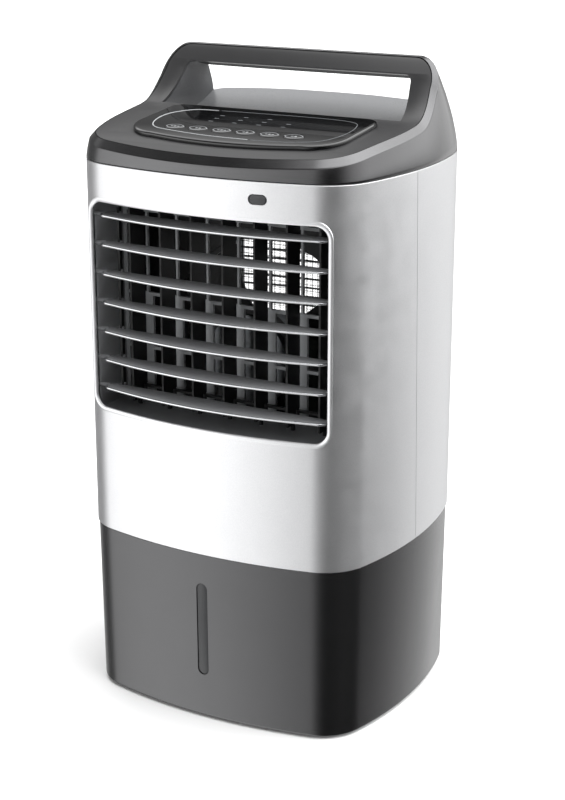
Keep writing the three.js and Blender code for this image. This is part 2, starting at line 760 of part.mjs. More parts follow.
// The hose climbs from the pump's spout to the spray tray.
function makeHose() {
  const low = FOOT_DROP + TANK_FLOOR + 4 + PUMP_HEIGHT + 10 + FIT;
  const high = SPRAY_LOW - FIT;
  const route = new THREE.CatmullRomCurve3([
    new THREE.Vector3(PUMP_X, PUMP_Y, low),
    new THREE.Vector3(PUMP_X, PUMP_Y, BODY_BOTTOM + 20),
    new THREE.Vector3(PUMP_X + 14, PUMP_Y, (low + high) / 2),
    new THREE.Vector3(PUMP_X, PUMP_Y, high - 30),
    new THREE.Vector3(PUMP_X, PUMP_Y, high),
  ]);
  const section = new THREE.Shape();
  section.absarc(0, 0, HOSE_RADIUS, 0, 2 * Math.PI);
  const settings = { steps: 16, extrudePath: route, curveSegments: 4 };
  addPart("pump_hose", "clear_hose", new THREE.ExtrudeGeometry(section, settings));
}

function makeSprayTray() {
  const near = PUMP_Y - 8;
  const far = CURTAIN_Y + CURTAIN_DEPTH;
  const half = CURTAIN_HALF - 8;
  const tray = box([-half, near, SPRAY_LOW], [half, far, SPRAY_HIGH]);
  const inside = box([-half + 2, near + 2, SPRAY_LOW + 2], [half - 2, far - 2, SPRAY_HIGH + 1]);
  const inlet = rod(HOSE_RADIUS - 1, [PUMP_X, PUMP_Y, SPRAY_LOW - 1], 5, "z", 12);
  let made = cut(tray, inside, inlet);
  const drips = 8;
  for (let i = 0; i < drips; i++) {
    const x = -half + 20 + (i * (2 * half - 40)) / (drips - 1);
    made = cut(made, rod(1.6, [x, CURTAIN_Y + CURTAIN_DEPTH / 2, SPRAY_LOW - 1], 5, "z", 6));
  }
  addPart("spray_tray", "satin_black", made);
}

function makeCurtain() {
  const near = CURTAIN_Y;
  const far = CURTAIN_Y + CURTAIN_DEPTH;
  const outer = box([-CURTAIN_HALF, near, CURTAIN_LOW], [CURTAIN_HALF, far, CURTAIN_HIGH]);
  const hollow = box([-CURTAIN_HALF + CURTAIN_RIM, near - 1, CURTAIN_LOW + CURTAIN_RIM], [
    CURTAIN_HALF - CURTAIN_RIM,
    far + 1,
    CURTAIN_HIGH - CURTAIN_RIM,
  ]);
  addPart("curtain_frame", "dark_grey", cut(outer, hollow));
  const net = box([-CURTAIN_HALF + CURTAIN_RIM + FIT, near + 3, CURTAIN_LOW + CURTAIN_RIM + FIT], [
    CURTAIN_HALF - CURTAIN_RIM - FIT,
    near + 6,
    CURTAIN_HIGH - CURTAIN_RIM - FIT,
  ]);
  addPart("wet_curtain", "curtain", net);
  const filter = box([-GRILLE_HALF + 10, far + 2, COVER_LOW + 8], [
    GRILLE_HALF - 10,
    far + 3.2,
    COVER_HIGH - 26,
  ]);
  addPart("filter_net", "net", filter);
}

// The level switch: a stem that hangs from the base tray, and a float that slides on it.
function makeLevelSensor() {
  const top = BODY_BOTTOM + 3 + FIT;
  const low = FLOAT_LOW - 3;
  const stem = rod(FLOAT_STEM, [FLOAT_X, FLOAT_Y, low], top + 1 - low, "z", 12);
  const stop = rod(FLOAT_STEM + 3, [FLOAT_X, FLOAT_Y, low], 2.4, "z", 12);
  const upper = FLOAT_LOW + FLOAT_HEIGHT + FLOAT_TRAVEL + 1;
  const collar = rod(FLOAT_STEM + 3, [FLOAT_X, FLOAT_Y, upper], 2.4, "z", 12);
  const head = rod(FLOAT_STEM + 5, [FLOAT_X, FLOAT_Y, top], 6, "z", 12);
  addPart("level_sensor_stem", "satin_black", union(stem, stop, collar, head));
  const float = rod(FLOAT_RADIUS, [FLOAT_X, FLOAT_Y, FLOAT_LOW], FLOAT_HEIGHT, "z", 20);
  const bore = rod(FLOAT_STEM + RUN, [FLOAT_X, FLOAT_Y, 0], 200, "z", 12);
  addPart("level_float", "dark_grey", cut(float, bore));
}

// ---------------------------------------------------------------- outlet

const louvreZ = (i) => LOUVRE_FIRST + (LOUVRES - 1 - i) * LOUVRE_PITCH;
const vaneX = (i) => (i - (VANES - 1) / 2) * VANE_PITCH;

function makeOutletFrame() {
  const w = FRAME_WALL;
  const front = -BODY_DEPTH / 2;
  const outer = box([-FRAME_HALF - w, front, FRAME_LOW - w], [
    FRAME_HALF + w,
    FRAME_REAR,
    FRAME_HIGH + w,
  ]);
  const inner = box([-FRAME_HALF, front - 1, FRAME_LOW], [
    FRAME_HALF,
    FRAME_REAR + 1,
    FRAME_HIGH,
  ]);
  const behindShell = planPrism(WALL + LIP_RADIUS * 0.8, BODY_BOTTOM, BODY_TOP);
  let frame = cut(outer.intersect(behindShell), inner);
  for (let i = 0; i < LOUVRES; i++) {
    const from = [-FRAME_HALF - w - 1, LOUVRE_PIVOT, louvreZ(i)];
    const through = 2 * (FRAME_HALF + w + 1);
    frame = cut(frame, rod(PIN_RADIUS + RUN, from, through, "x", 8));
  }
  for (let i = 0; i < VANES; i++) {
    const from = [vaneX(i), VANE_PIVOT, FRAME_LOW - w - 1];
    const through = FRAME_HIGH - FRAME_LOW + 2 * w + 2;
    frame = cut(frame, rod(PIN_RADIUS + RUN, from, through, "z", 8));
  }
  addPart("outlet_frame", "dark_grey", frame);
}

// A louvre: bowed in front like the body, straight behind, with a pin at each end.
function louvreBlade() {
  const half = OUTLET_HALF - LOUVRE_END_GAP;
  const round = LOUVRE_ROUND;
  const reach = FRONT_RADIUS - LOUVRE_INSET;
  const shape = new THREE.Shape();
  const angle = Math.asin((half - round) / reach);
  const middle = 1.5 * Math.PI;
  shape.absarc(0, FRONT_CENTRE.y, reach, middle - angle, middle + angle);
  const cornerY = frontY(half - round, LOUVRE_INSET);
  shape.quadraticCurveTo(half, cornerY + 2.4, half, cornerY + round);
  shape.lineTo(half, LOUVRE_REAR);
  shape.lineTo(-half, LOUVRE_REAR);
  shape.lineTo(-half, cornerY + round);
  shape.quadraticCurveTo(-half, cornerY + 2.4, -half + round, cornerY);
  const thick = LOUVRE_THICK / 2;
  return prismZ(shape, -thick, thick, 4);
}

function makeLouvres() {
  const half = OUTLET_HALF - LOUVRE_END_GAP;
  const pinEnd = FRAME_HALF + FRAME_WALL - PIN_SHORT;
  const blade = louvreBlade();
  const linkY = LOUVRE_PIVOT + LINK_LEVER;
  for (let i = 0; i < LOUVRES; i++) {
    const left = rod(PIN_RADIUS, [-pinEnd, LOUVRE_PIVOT, 0], pinEnd - half + 3, "x", 8);
    const right = rod(PIN_RADIUS, [half - 3, LOUVRE_PIVOT, 0], pinEnd - half + 3, "x", 8);
    const arm = box([LINK_X - 4, LOUVRE_REAR - 2, -LOUVRE_THICK / 2], [
      LINK_X - 2,
      linkY + 2,
      LOUVRE_THICK / 2,
    ]);
    const pin = rod(LINK_PIN_RADIUS, [LINK_X - 3, linkY, 0], 4.6, "x", 8);
    const louvre = union(blade, left, right, arm, pin);
    addPart(`louvre_${i + 1}`, "dark_grey", louvre, [0, 0, louvreZ(i)]);
  }
  const low = louvreZ(LOUVRES - 1) - 5;
  const high = louvreZ(0) + 5;
  const halfLink = LINK_WIDTH / 2;
  let link = box([LINK_X - LINK_THICK / 2, linkY - halfLink, low], [
    LINK_X + LINK_THICK / 2,
    linkY + halfLink,
    high,
  ]);
  for (let i = 0; i < LOUVRES; i++) {
    link = cut(link, rod(LINK_PIN_RADIUS + RUN, [LINK_X - 5, linkY, louvreZ(i)], 10, "x", 8));
  }
  addPart("louvre_link", "satin_black", link);
}

function makeVanes() {
  const front = -VANE_CHORD / 2;
  const rear = VANE_CHORD / 2;
  const halfThick = VANE_THICK / 2;
  for (let i = 0; i < VANES; i++) {
    const plate = box([-halfThick, front, VANE_LOW], [halfThick, rear, VANE_HIGH]);
    const notch = box([-5, VANE_LEVER - 4.6, VANE_LINK_Z - 2.2], [
      5,
      rear + 1,
      VANE_LINK_Z + 2.2,
    ]);
    const length = FRAME_HIGH - FRAME_LOW + 2 * FRAME_WALL;
    const pins = rod(PIN_RADIUS, [0, 0, FRAME_LOW - FRAME_WALL], length, "z", 8);
    const between = box([-9, -15, VANE_LOW + 4], [9, 15, VANE_HIGH - 4]);
    const crank = rod(LINK_PIN_RADIUS, [0, VANE_LEVER, VANE_LINK_Z - 4], 8, "z", 8);
    let vane = union(cut(plate, notch), cut(pins, between), crank);
    if (i === (VANES - 1) / 2) vane = vane.add(motorStub());
    addPart(`vane_${i + 1}`, "satin_black", vane, [vaneX(i), VANE_PIVOT, 0]);
  }
  const y = VANE_PIVOT + VANE_LEVER;
  const half = vaneX(VANES - 1) + 4;
  let link = box([-half, y - LINK_WIDTH / 2, VANE_LINK_Z - LINK_THICK / 2], [
    half,
    y + LINK_WIDTH / 2,
    VANE_LINK_Z + LINK_THICK / 2,
  ]);
  for (let i = 0; i < VANES; i++) {
    link = cut(link, rod(LINK_PIN_RADIUS + RUN, [vaneX(i), y, VANE_LINK_Z - 5], 10, "z", 8));
  }
  addPart("vane_link", "satin_black", link);
}

// The middle vane's lower pin runs on into the swing motor.
function motorStub() {
  return rod(SWING_SHAFT, [0, 0, SWING_MOTOR_TOP - 6], 12, "z", 8);
}

function makeSwingMotor() {
  const at = [0, VANE_PIVOT, SWING_MOTOR_TOP - SWING_MOTOR_HEIGHT];
  const can = rod(SWING_MOTOR_RADIUS, at, SWING_MOTOR_HEIGHT, "z", 24);
  const ears = box([-21, VANE_PIVOT - 4, SWING_MOTOR_TOP - 2], [
    21,
    VANE_PIVOT + 4,
    SWING_MOTOR_TOP,
  ]);
  const bore = rod(SWING_SHAFT + RUN, [0, VANE_PIVOT, SWING_MOTOR_TOP - 7], 8, "z", 8);
  addPart("swing_motor", "motor_grey", cut(union(can, ears), bore));
}

// The guard behind the vanes: upright bars, open in the two rows in front of the fan's top.
function makeGuard() {
  const half = FRAME_HALF - FIT;
  const low = FRAME_LOW + FIT;
  const high = FRAME_HIGH - FIT;
  let guard = box([-half, GUARD_Y, low], [half, GUARD_Y + GUARD_THICK, high]);
  const openLow = louvreZ(3) - 2;
  const openHigh = louvreZ(0) - 4;
  const bands = [
    [low + 4, (low + openLow) / 2 - 1.5, GUARD_BAR],
    [(low + openLow) / 2 + 1.5, openLow, GUARD_BAR],
    [openLow + 3, openHigh, GUARD_WIRE],
    [openHigh + 3, high - 4, GUARD_BAR],
  ];
  for (const [from, to, barWidth] of bands) {
    for (let i = 0; i <= VANES; i++) {
      const middle = vaneX(i) - VANE_PITCH / 2;
      const left = Math.max(-half + 4, middle - VANE_PITCH / 2 + barWidth / 2);
      const right = Math.min(half - 4, middle + VANE_PITCH / 2 - barWidth / 2);
      guard = cut(guard, box([left, GUARD_Y - 9, from], [right, GUARD_Y + 9, to]));
    }
  }
  addPart("outlet_guard", "dark_grey", guard);
}

// ---------------------------------------------------------------- fan

function makeShroud() {
  const panel = box([-BODY_WIDTH / 2, SHROUD_Y, BODY_BOTTOM + 3 + FIT], [
    BODY_WIDTH / 2,
    SHROUD_Y + 2.5,
    BODY_TOP - 4,
  ]).intersect(planPrism(WALL + FIT, 0, 1000));
  const ring = rod(FAN_RADIUS + 6, [0, SHROUD_Y, FAN_Z], DUCT_DEPTH, "y", 40);
  const hole = rod(FAN_RADIUS + 3.5, [0, SHROUD_Y - 5, FAN_Z], DUCT_DEPTH + 10, "y", 40);
  addPart("fan_shroud", "satin_black", cut(union(panel, ring), hole));
}

// One blade: a twisted sheet from the hub out to the tip.
function fanBlade() {
  const across = 4;
  const out = 3;
  const span = THREE.MathUtils.degToRad(BLADE_SPAN);
  const thick = 1.1;
  const positions = [];
  const faces = [];
  const index = (layer, r, a) => layer * (out + 1) * (across + 1) + r * (across + 1) + a;
  for (const side of [1, -1]) {
    for (let r = 0; r <= out; r++) {
      const radius = THREE.MathUtils.lerp(HUB_RADIUS - 2, FAN_RADIUS, r / out);
      for (let a = 0; a <= across; a++) {
        const share = a / across - 0.5;
        const angle = span * share * (0.8 + (0.35 * r) / out) + (0.25 * r) / out;
        const rise = FAN_DEPTH * (0.84 - (0.3 * r) / out) * share;
        const x = radius * Math.sin(angle);
        const z = radius * Math.cos(angle);
        positions.push(x, rise + side * thick, z);
      }
    }
  }
  for (let r = 0; r < out; r++) {
    for (let a = 0; a < across; a++) {
      const [p, q, s, t] = [
        [r, a],
        [r, a + 1],
        [r + 1, a + 1],
        [r + 1, a],
      ];
      const top = [p, q, s, t].map(([i, j]) => index(0, i, j));
      const under = [p, q, s, t].map(([i, j]) => index(1, i, j));
      faces.push(top[0], top[2], top[1], top[0], top[3], top[2]);
      faces.push(under[0], under[1], under[2], under[0], under[2], under[3]);
    }
  }
  const edge = [];
  for (let a = 0; a < across; a++) edge.push([0, a]);
  for (let r = 0; r < out; r++) edge.push([r, across]);
  for (let a = across; a > 0; a--) edge.push([out, a]);
  for (let r = out; r > 0; r--) edge.push([r, 0]);
  edge.forEach(([r, a], i) => {
    const [r2, a2] = edge[(i + 1) % edge.length];
    const [p, q] = [index(0, r, a), index(0, r2, a2)];
    const [s, t] = [index(1, r2, a2), index(1, r, a)];
    faces.push(p, q, s, p, s, t);
  });
  return indexed(positions, faces);
}

function makeFan() {
  const sheet = fanBlade();
  let fan = rod(HUB_RADIUS, [0, -FAN_DEPTH / 2, 0], FAN_DEPTH, "y", 30);
  for (let i = 0; i < BLADES; i++) {
    const turned = sheet.clone().rotateY(((i + 0.48) / BLADES) * 2 * Math.PI);
    let blade = solidOf(turned);
    if (blade.volume() < 0) throw new Error("the fan blade faces inwards");
    fan = fan.add(blade);
  }
  const bore = rod(SHAFT_RADIUS + 0.5, [0, -FAN_DEPTH, 0], 2 * FAN_DEPTH, "y", 12);
  const place = [0, FAN_Y + FAN_DEPTH / 2, FAN_Z];
  addPart("fan", "satin_black", cut(fan, bore), place);
  const shaftFrom = -FAN_DEPTH / 2 - 12;
  const shaft = rod(SHAFT_RADIUS, [0, shaftFrom, 0], FAN_DEPTH + 16, "y", 12);
  addPart("motor_shaft", "steel", shaft, place);
}

// The motor is in front of the fan, on three arms from the shroud.
function makeMotor() {
  const back = FAN_Y - 4;
  const front = back - MOTOR_LENGTH;
  const can = rod(MOTOR_RADIUS, [0, front, FAN_Z], MOTOR_LENGTH, "y", 32);
  const boss = rod(14, [0, back - 1, FAN_Z], 3, "y", 20);
  const bore = rod(SHAFT_RADIUS + RUN, [0, back - 9, FAN_Z], 20, "y", 12);
  addPart("fan_motor", "motor_grey", cut(union(can, boss), bore));
  const inner = MOTOR_RADIUS + FIT;
  const outer = FAN_RADIUS + 14;
  let bracket = rod(MOTOR_RADIUS + 4, [0, front + 4, FAN_Z], 12, "y", 32);
  bracket = cut(bracket, rod(inner, [0, front - 5, FAN_Z], 60, "y", 32));
  for (let i = 0; i < BRACKET_ARMS; i++) {
    const arm = new THREE.BoxGeometry(7, 12, outer - inner);
    arm.translate(0, front + 10, (outer + inner) / 2);
    const foot = new THREE.BoxGeometry(12, SHROUD_Y - FIT - front - 4, 5);
    foot.translate(0, (SHROUD_Y - FIT + front + 4) / 2, outer - 1);
    const angle = ((i + 1) * Math.PI) / 2;
    for (const piece of [arm, foot]) {
      bracket = bracket.add(solidOf(piece.rotateY(angle).translate(0, 0, FAN_Z)));
    }
  }
  addPart("motor_bracket", "satin_black", bracket);
}

// ---------------------------------------------------------------- top

// The deck and handle face in side view, front to top: a gentle rise, then a sweep up.
const profile = (points) => points.map(([y, rise]) => [y * DEPTH_SCALE, TOP_BASE + rise]);
const DECK_CURVE = new THREE.SplineCurve(
  profile(DECK_PROFILE).map(([y, z]) => new THREE.Vector2(y, z)),
);
const DECK_LINE = DECK_CURVE.getPoints(200);

function alongDeck(key, value) {
  const other = key === "x" ? "y" : "x";
  const after = DECK_LINE.findIndex((p) => p[key] >= value);
  const i = after < 1 ? (after === 0 ? 1 : DECK_LINE.length - 1) : after;
  const [a, b] = [DECK_LINE[i - 1], DECK_LINE[i]];
  return a[other] + ((value - a[key]) / (b[key] - a[key])) * (b[other] - a[other]);
}

const deckZ = (y) => alongDeck("x", y);
const deckY = (z) => alongDeck("y", z);

// The deck's unit normal (y, z) at a given y.
function deckNormal(y) {
  const slope = deckZ(y + 0.5) - deckZ(y - 0.5);
  return new THREE.Vector2(-slope, 1).normalize();
}

const CORNER_TOP_Z = TOP_BASE + HANDLE_CORNER_RISE;
const RIDGE_Z = CORNER_TOP_Z + HANDLE_CORNER_RADIUS;
const lean = (z) => 1 + LEAN * (z - TOP_BASE);

// The rim of the top's face: its lower, outer edge, or its upper edge inside the chamfer.
function rimHalf(upper, sink = 0) {
  const points = [];
  const plan = halfOutline(0);
  const inwards = halfOutline(1);
  for (let i = 0; i <= FACE_STATIONS; i++) {
    const step = inwards[i].clone().sub(plan[i]);
    if (i === 0) step.set(0, 1);
    const at = plan[i].clone();
    for (let pass = 0; pass < 12; pass++) {
      const inset = lean(deckZ(at.y)) + (upper ? CHAMFER : 0);
      at.copy(plan[i]).addScaledVector(step, inset + sink);
    }
    points.push(new THREE.Vector3(at.x, at.y, deckZ(at.y) - (upper ? 0 : CHAMFER)));
  }
  const start = points.at(-1).clone();
  const radius = upper ? HANDLE_CORNER_RADIUS - 3 : HANDLE_CORNER_RADIUS;
  const top = upper ? RIDGE_Z - 0.9 : RIDGE_Z;
  const ridgeX = HANDLE_CORNER_X - (upper ? 2 : 0) - sink;
  const cornerSteps = HALF_PLAN[3][4] + HALF_PLAN[4][4];
  const reach = start.x - ridgeX;
  const rise = top - sink - start.z;
  for (let k = 1; k <= cornerSteps; k++) {
    const angle = (k / cornerSteps) * (Math.PI / 2);
    const z = start.z + rise * Math.sin(angle);
    const x = ridgeX + reach * Math.cos(angle);
    const back = upper ? 0 : RIDGE_BACK;
    const y = deckY(z) + THREE.MathUtils.lerp(start.y - deckY(start.z), back, k / cornerSteps);
    points.push(new THREE.Vector3(x, y, z));
  }
  const ridge = points.at(-1);
  const backSteps = HALF_PLAN[5][4];
  for (let k = 1; k <= backSteps; k++) {
    points.push(new THREE.Vector3(ridge.x * (1 - k / backSteps), ridge.y, ridge.z));
  }
  return points;
}

// Pushes rim points down into the face, square to it.
function sunk(half, depth) {
  return half.map((p) => {
    const normal = deckNormal(Math.min(p.y, 47));
    return new THREE.Vector3(p.x, p.y - normal.x * depth, p.z - normal.y * depth);
  });
}

// Closes a rim with faces that run straight across from right to left.
function acrossFaces(offset, halfCount, ringCount, flip) {
  const faces = [];
  const left = (i) => offset + (i === 0 || i === halfCount - 1 ? i : ringCount - i);
  for (let i = 0; i < halfCount - 1; i++) {
    const [a, b] = [offset + i, offset + i + 1];
    const [c, d] = [left(i + 1), left(i)];
    const push = (p, q, r) => flip ? faces.push(p, r, q) : faces.push(p, q, r);
    if (a !== d) push(a, b, d);
    if (b !== c) push(b, c, d);
  }
  return faces;
}

// The halves run on to the middle of the ridge, so the last point closes each ring.
function rimSolid(halves, flatBottom) {
  const rings = halves.map(wholeRing);
  const count = rings[0].length;
  const positions = rings.flat().flatMap((p) => [p.x, p.y, p.z]);
  const faces = [];
  for (let r = 0; r < rings.length - 1; r++) {
    for (let i = 0; i < count; i++) {
      const j = (i + 1) % count;
      const [a, b] = [r * count, (r + 1) * count];
      faces.push(a + i, a + j, b + j, a + i, b + j, b + i);
    }
  }
  const halfCount = halves[0].length;
  if (flatBottom) {
    for (const [i, j, k] of capOf(rings[0])) faces.push(i, k, j);
  } else {
    faces.push(...acrossFaces(0, halfCount, count, true));
  }
  faces.push(...acrossFaces((rings.length - 1) * count, halfCount, count, false));
  return solidOf(indexed(positions, faces));
}

// The gap under the handle, open from the front face through to the back.
function gripSpace() {
  const top = TOP_BASE + BAR_PROFILE.at(-1)[1];
  const floor = TOP_BASE + 10;
  const low = TOP_BASE + 36;
  const front = new THREE.Shape();
  front.moveTo(-GRIP_HALF_LOW, floor);
  front.lineTo(GRIP_HALF_LOW, floor);
  front.lineTo(GRIP_HALF_LOW, low);
  front.lineTo(GRIP_HALF_HIGH, top - GRIP_ROUND);
  front.quadraticCurveTo(GRIP_HALF_HIGH, top, GRIP_HALF_HIGH - GRIP_ROUND, top);
  front.lineTo(GRIP_ROUND - GRIP_HALF_HIGH, top);
  front.quadraticCurveTo(-GRIP_HALF_HIGH, top, -GRIP_HALF_HIGH, top - GRIP_ROUND);
  front.lineTo(-GRIP_HALF_LOW, low);
  const side = profile([...SCOOP_PROFILE, ...BAR_PROFILE]);
  return prismY(front, -BODY_DEPTH, BODY_DEPTH).intersect(prismX(side, -BODY_WIDTH, BODY_WIDTH));
}

function panelWindow() {
  const half = PANEL_HALF - 20;
  return box([PANEL_X - half, PANEL_FRONT + 14, TOP_BASE], [
    PANEL_X + half,
    PANEL_BACK - 16,
    TOP_BASE + 60,
  ]);
}

function makeTopHousing() {
  const base = halfOutline(0).map((p) => new THREE.Vector3(p.x, p.y, TOP_BASE));
  const outer = rimHalf(false);
  const halves = [base];
  for (const share of [0.35, 0.7]) {
    const lateral = share ** 1.5;
    halves.push(
      base.map((p, i) => {
        const x = THREE.MathUtils.lerp(p.x, outer[i].x, lateral);
        const y = THREE.MathUtils.lerp(p.y, outer[i].y, lateral);
        return new THREE.Vector3(x, y, THREE.MathUtils.lerp(p.z, outer[i].z, share));
      }),
    );
  }
  const upper = rimHalf(true);
  halves.push(outer, upper, sunk(rimHalf(true, FIT), DECK_PLATE + FIT));
  const inside = planPrism(2 * WALL, 0, 2 * TOP_BASE);
  const hollow = prismX(profile(HOLLOW_PROFILE), -BODY_WIDTH, BODY_WIDTH).intersect(inside);
  let housing = cut(rimSolid(halves, true), gripSpace(), panelWindow(), hollow);
  for (const side of [-1, 1]) {
    housing = housing.add(screwTab(side * SCREW_X, SCREW_HIGH, SCREW_HIGH - 5, TOP_BASE + 12));
  }
  addPart("top_housing", "gloss_graphite", housing);
}

function makeDeckPanel() {
  const face = rimHalf(true, 2 * FIT);
  const plate = rimSolid([sunk(face, DECK_PLATE), face], false);
  addPart("deck_panel", "dark_grey", cut(plate, gripSpace(), panelWindow(), panelSeat()));
}

// The control panel's outline, front middle to back middle, bowed along its front edge.
function panelHalf(inset) {
  const half = PANEL_HALF - inset;
  const round = PANEL_ROUND - inset;
  const small = PANEL_BACK_ROUND - inset;
  const front = PANEL_FRONT + inset;
  const back = PANEL_BACK - inset;
  const points = [];
  const cornerX = half - round;
  for (let i = 0; i <= 6; i++) {
    const x = (cornerX * i) / 6;
    points.push([x, front + PANEL_BOW * (x / cornerX) ** 2]);
  }
  const cornerY = front + PANEL_BOW + round;
  for (let i = 1; i <= 5; i++) {
    const angle = ((i / 5 - 1) * Math.PI) / 2;
    points.push([cornerX + round * Math.cos(angle), cornerY + round * Math.sin(angle)]);
  }
  for (let i = 1; i <= 4; i++) {
    points.push([half, THREE.MathUtils.lerp(cornerY, back - small, i / 4)]);
  }
  for (let i = 1; i <= 4; i++) {
    const angle = ((i / 4) * Math.PI) / 2;
    points.push([half - small + small * Math.cos(angle), back - small + small * Math.sin(angle)]);
  }
  points.push([0, back]);
  return points;
}

function draped(half, rise) {
  return half.map(([x, y]) => {
    const normal = deckNormal(y);
    return new THREE.Vector3(x, y + normal.x * rise, deckZ(y) + normal.y * rise);
  });
}

// The room that the control panel takes on the deck, with a gap all round.
function panelSeat() {
  const rings = [draped(panelHalf(-FIT), 0), draped(panelHalf(-FIT), 2 * PANEL_RISE)];
  return rimSolid(rings, false).translate([PANEL_X, 0, 0]);
}

const keyX = (i) => KEY_X + (i - (KEYS - 1) / 2) * KEY_PITCH;

function keyOval(grow) {
  const shape = new THREE.Shape();
  shape.absellipse(0, 0, KEY_LENGTH / 2 + grow, KEY_WIDTH / 2 + grow, 0, 2 * Math.PI);
  return shape;
}

// Places a piece made upright at the origin at key i, square to the deck.
function atKey(solid, i) {
  const normal = deckNormal(KEY_Y);
  const tilt = THREE.MathUtils.radToDeg(Math.atan2(-normal.x, normal.y));
  return solid.rotate([tilt, 0, 0]).translate([keyX(i), KEY_Y, deckZ(KEY_Y)]);
}

function makeControlPanel() {
  const rings = [
    draped(panelHalf(0), FIT),
    draped(panelHalf(0), 1.2),
    draped(panelHalf(PANEL_BEVEL), PANEL_RISE),
  ];
  let panel = rimSolid(rings, false).translate([PANEL_X, 0, 0]);
  const hole = prismZ(keyOval(RUN), -10, 15);
  for (let i = 0; i < KEYS; i++) panel = cut(panel, atKey(hole, i));
  addPart("control_panel", "gloss_graphite", panel);
}

function makeKeys() {
  const cap = prismZ(keyOval(0), PANEL_RISE - 3.4, PANEL_RISE + 0.5);
  const stem = rod(2.2, [0, 0, PANEL_RISE - 3 - KEY_STEM], KEY_STEM, "z", 10);
  const key = union(cap, stem);
  for (let i = 0; i < KEYS; i++) addPart(`key_${i + 1}`, "dark_grey", atKey(key, i));
}

// The board under the keys, with a small switch below each stem.
function makeBoard() {
  const normal = deckNormal(KEY_Y);
  const reach = PANEL_RISE - 3 - KEY_STEM;
  const stemEnd = deckZ(KEY_Y) + normal.y * reach;
  const stemY = KEY_Y + normal.x * reach;
  const top = stemEnd - KEY_TRAVEL - 1.6;
  const half = PANEL_HALF - 26;
  let board = box([PANEL_X - half, PANEL_FRONT + 17, top - 4.2], [
    PANEL_X + half,
    PANEL_BACK - 20,
    top - 2.6,
  ]);
  for (let i = 0; i < KEYS; i++) {
    const x = keyX(i);
    board = board.add(box([x - 3, stemY - 3, top - 3], [x + 3, stemY + 3, top]));
  }
  addPart("control_board", "circuit", board);
}

// ---------------------------------------------------------------- assembly

makeTank();
makeLevelWindow();
makeFeet();
makeDrainPlug();
makeFrontShell();
makeReceiverWindow();
makeRearShell();
makeCordGland();
makeShellScrews();
makeRearCover();
makeBaseTray();
makePump();
makeHose();
makeSprayTray();
makeCurtain();
makeLevelSensor();
makeOutletFrame();
makeLouvres();
makeVanes();
makeSwingMotor();
makeGuard();
makeShroud();
makeFan();
makeMotor();
makeTopHousing();
makeDeckPanel();
makeControlPanel();
makeKeys();
makeBoard();

export default cooler;
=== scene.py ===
# %% [markdown]
# # A portable evaporative air cooler
#
# The real thing is a tall box of moulded plastic. A glossy graphite tank holds water. A body of
# silver-painted shells stands on it and holds the fan, the wet curtain and the louvres. A dark
# top closes it, with a key panel in front and a carrying handle behind. The moving design is
# already there as a fixed frame of bodies and joints. This lesson dresses it: it makes the fine
# surfaces, the finishes and the small things that the eye looks for.

import math

import bmesh
import bpy
from mathutils import Matrix, Vector


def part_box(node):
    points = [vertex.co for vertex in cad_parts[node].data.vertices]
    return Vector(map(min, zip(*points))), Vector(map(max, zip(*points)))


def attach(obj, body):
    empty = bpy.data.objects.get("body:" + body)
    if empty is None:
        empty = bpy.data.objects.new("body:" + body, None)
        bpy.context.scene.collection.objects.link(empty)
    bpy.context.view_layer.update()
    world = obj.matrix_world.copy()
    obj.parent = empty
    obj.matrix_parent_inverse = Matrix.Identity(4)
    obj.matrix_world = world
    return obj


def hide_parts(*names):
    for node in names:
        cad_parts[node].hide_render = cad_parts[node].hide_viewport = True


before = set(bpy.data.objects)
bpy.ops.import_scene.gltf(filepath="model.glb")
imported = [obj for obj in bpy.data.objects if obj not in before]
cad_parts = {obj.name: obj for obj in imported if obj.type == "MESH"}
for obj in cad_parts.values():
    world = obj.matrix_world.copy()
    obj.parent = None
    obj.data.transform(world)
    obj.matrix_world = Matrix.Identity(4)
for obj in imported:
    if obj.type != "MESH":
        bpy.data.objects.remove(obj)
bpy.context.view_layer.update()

# %% [markdown]
# ## Working units and colours
#
# Blender works in metres and the sizes of such a thing are thought of in millimetres, so one
# constant turns one into the other. Colours are written as sRGB hex values, as a paint maker
# gives them. Shaders work in linear light, so one function turns hex into linear.

# %% Units and colours
MM = 0.001


def linear(hex_colour):
    """An sRGB hex colour as linear red, green, blue and alpha."""
    channels = [int(hex_colour[i : i + 2], 16) / 255 for i in (1, 3, 5)]
    bent = [c / 12.92 if c <= 0.04045 else ((c + 0.055) / 1.055) ** 2.4 for c in channels]
    return (*bent, 1.0)


print("mid grey #808080 in linear light:", [round(v, 3) for v in linear("#808080")[:3]])

# %% [markdown]
# ## Finishes
#
# Every finish is a node material made from what the real surface is: the plastic or metal, and
# how it was made. Moulded plastic has a faint grain or an orange peel, metallic paint has
# flakes, a drawn metal has fine lines. Patterns are laid out in Object coordinates, so their
# scale is a real size in millimetres and they ride with the piece.

# %% A helper that adds one node, and the start of every material


def put(tree, kind, sockets=None, **settings):
    """Adds a node. Sockets are given by name or number, as a value or as an output to link."""
    node = tree.nodes.new(kind)
    for key, value in settings.items():
        setattr(node, key, value)
    for key, value in (sockets or {}).items():
        if isinstance(value, bpy.types.NodeSocket):
            tree.links.new(value, node.inputs[key])
        else:
            node.inputs[key].default_value = value
    return node


def finish(name, colour, roughness, metallic=0.0, ior=1.5, **sockets):
    """A material with one Principled shader. Returns the material, its tree and the shader."""
    material = bpy.data.materials.new(name)
    material.use_nodes = True
    tree = material.node_tree
    shader = tree.nodes["Principled BSDF"]
    shader.inputs["Base Color"].default_value = linear(colour)
    shader.inputs["Roughness"].default_value = roughness
    shader.inputs["Metallic"].default_value = metallic
    if metallic < 1:
        shader.inputs["IOR"].default_value = ior
    for key, value in sockets.items():
        shader.inputs[key.replace("_", " ")].default_value = value
    return material, tree, shader


# %% Patterns that the finishes share


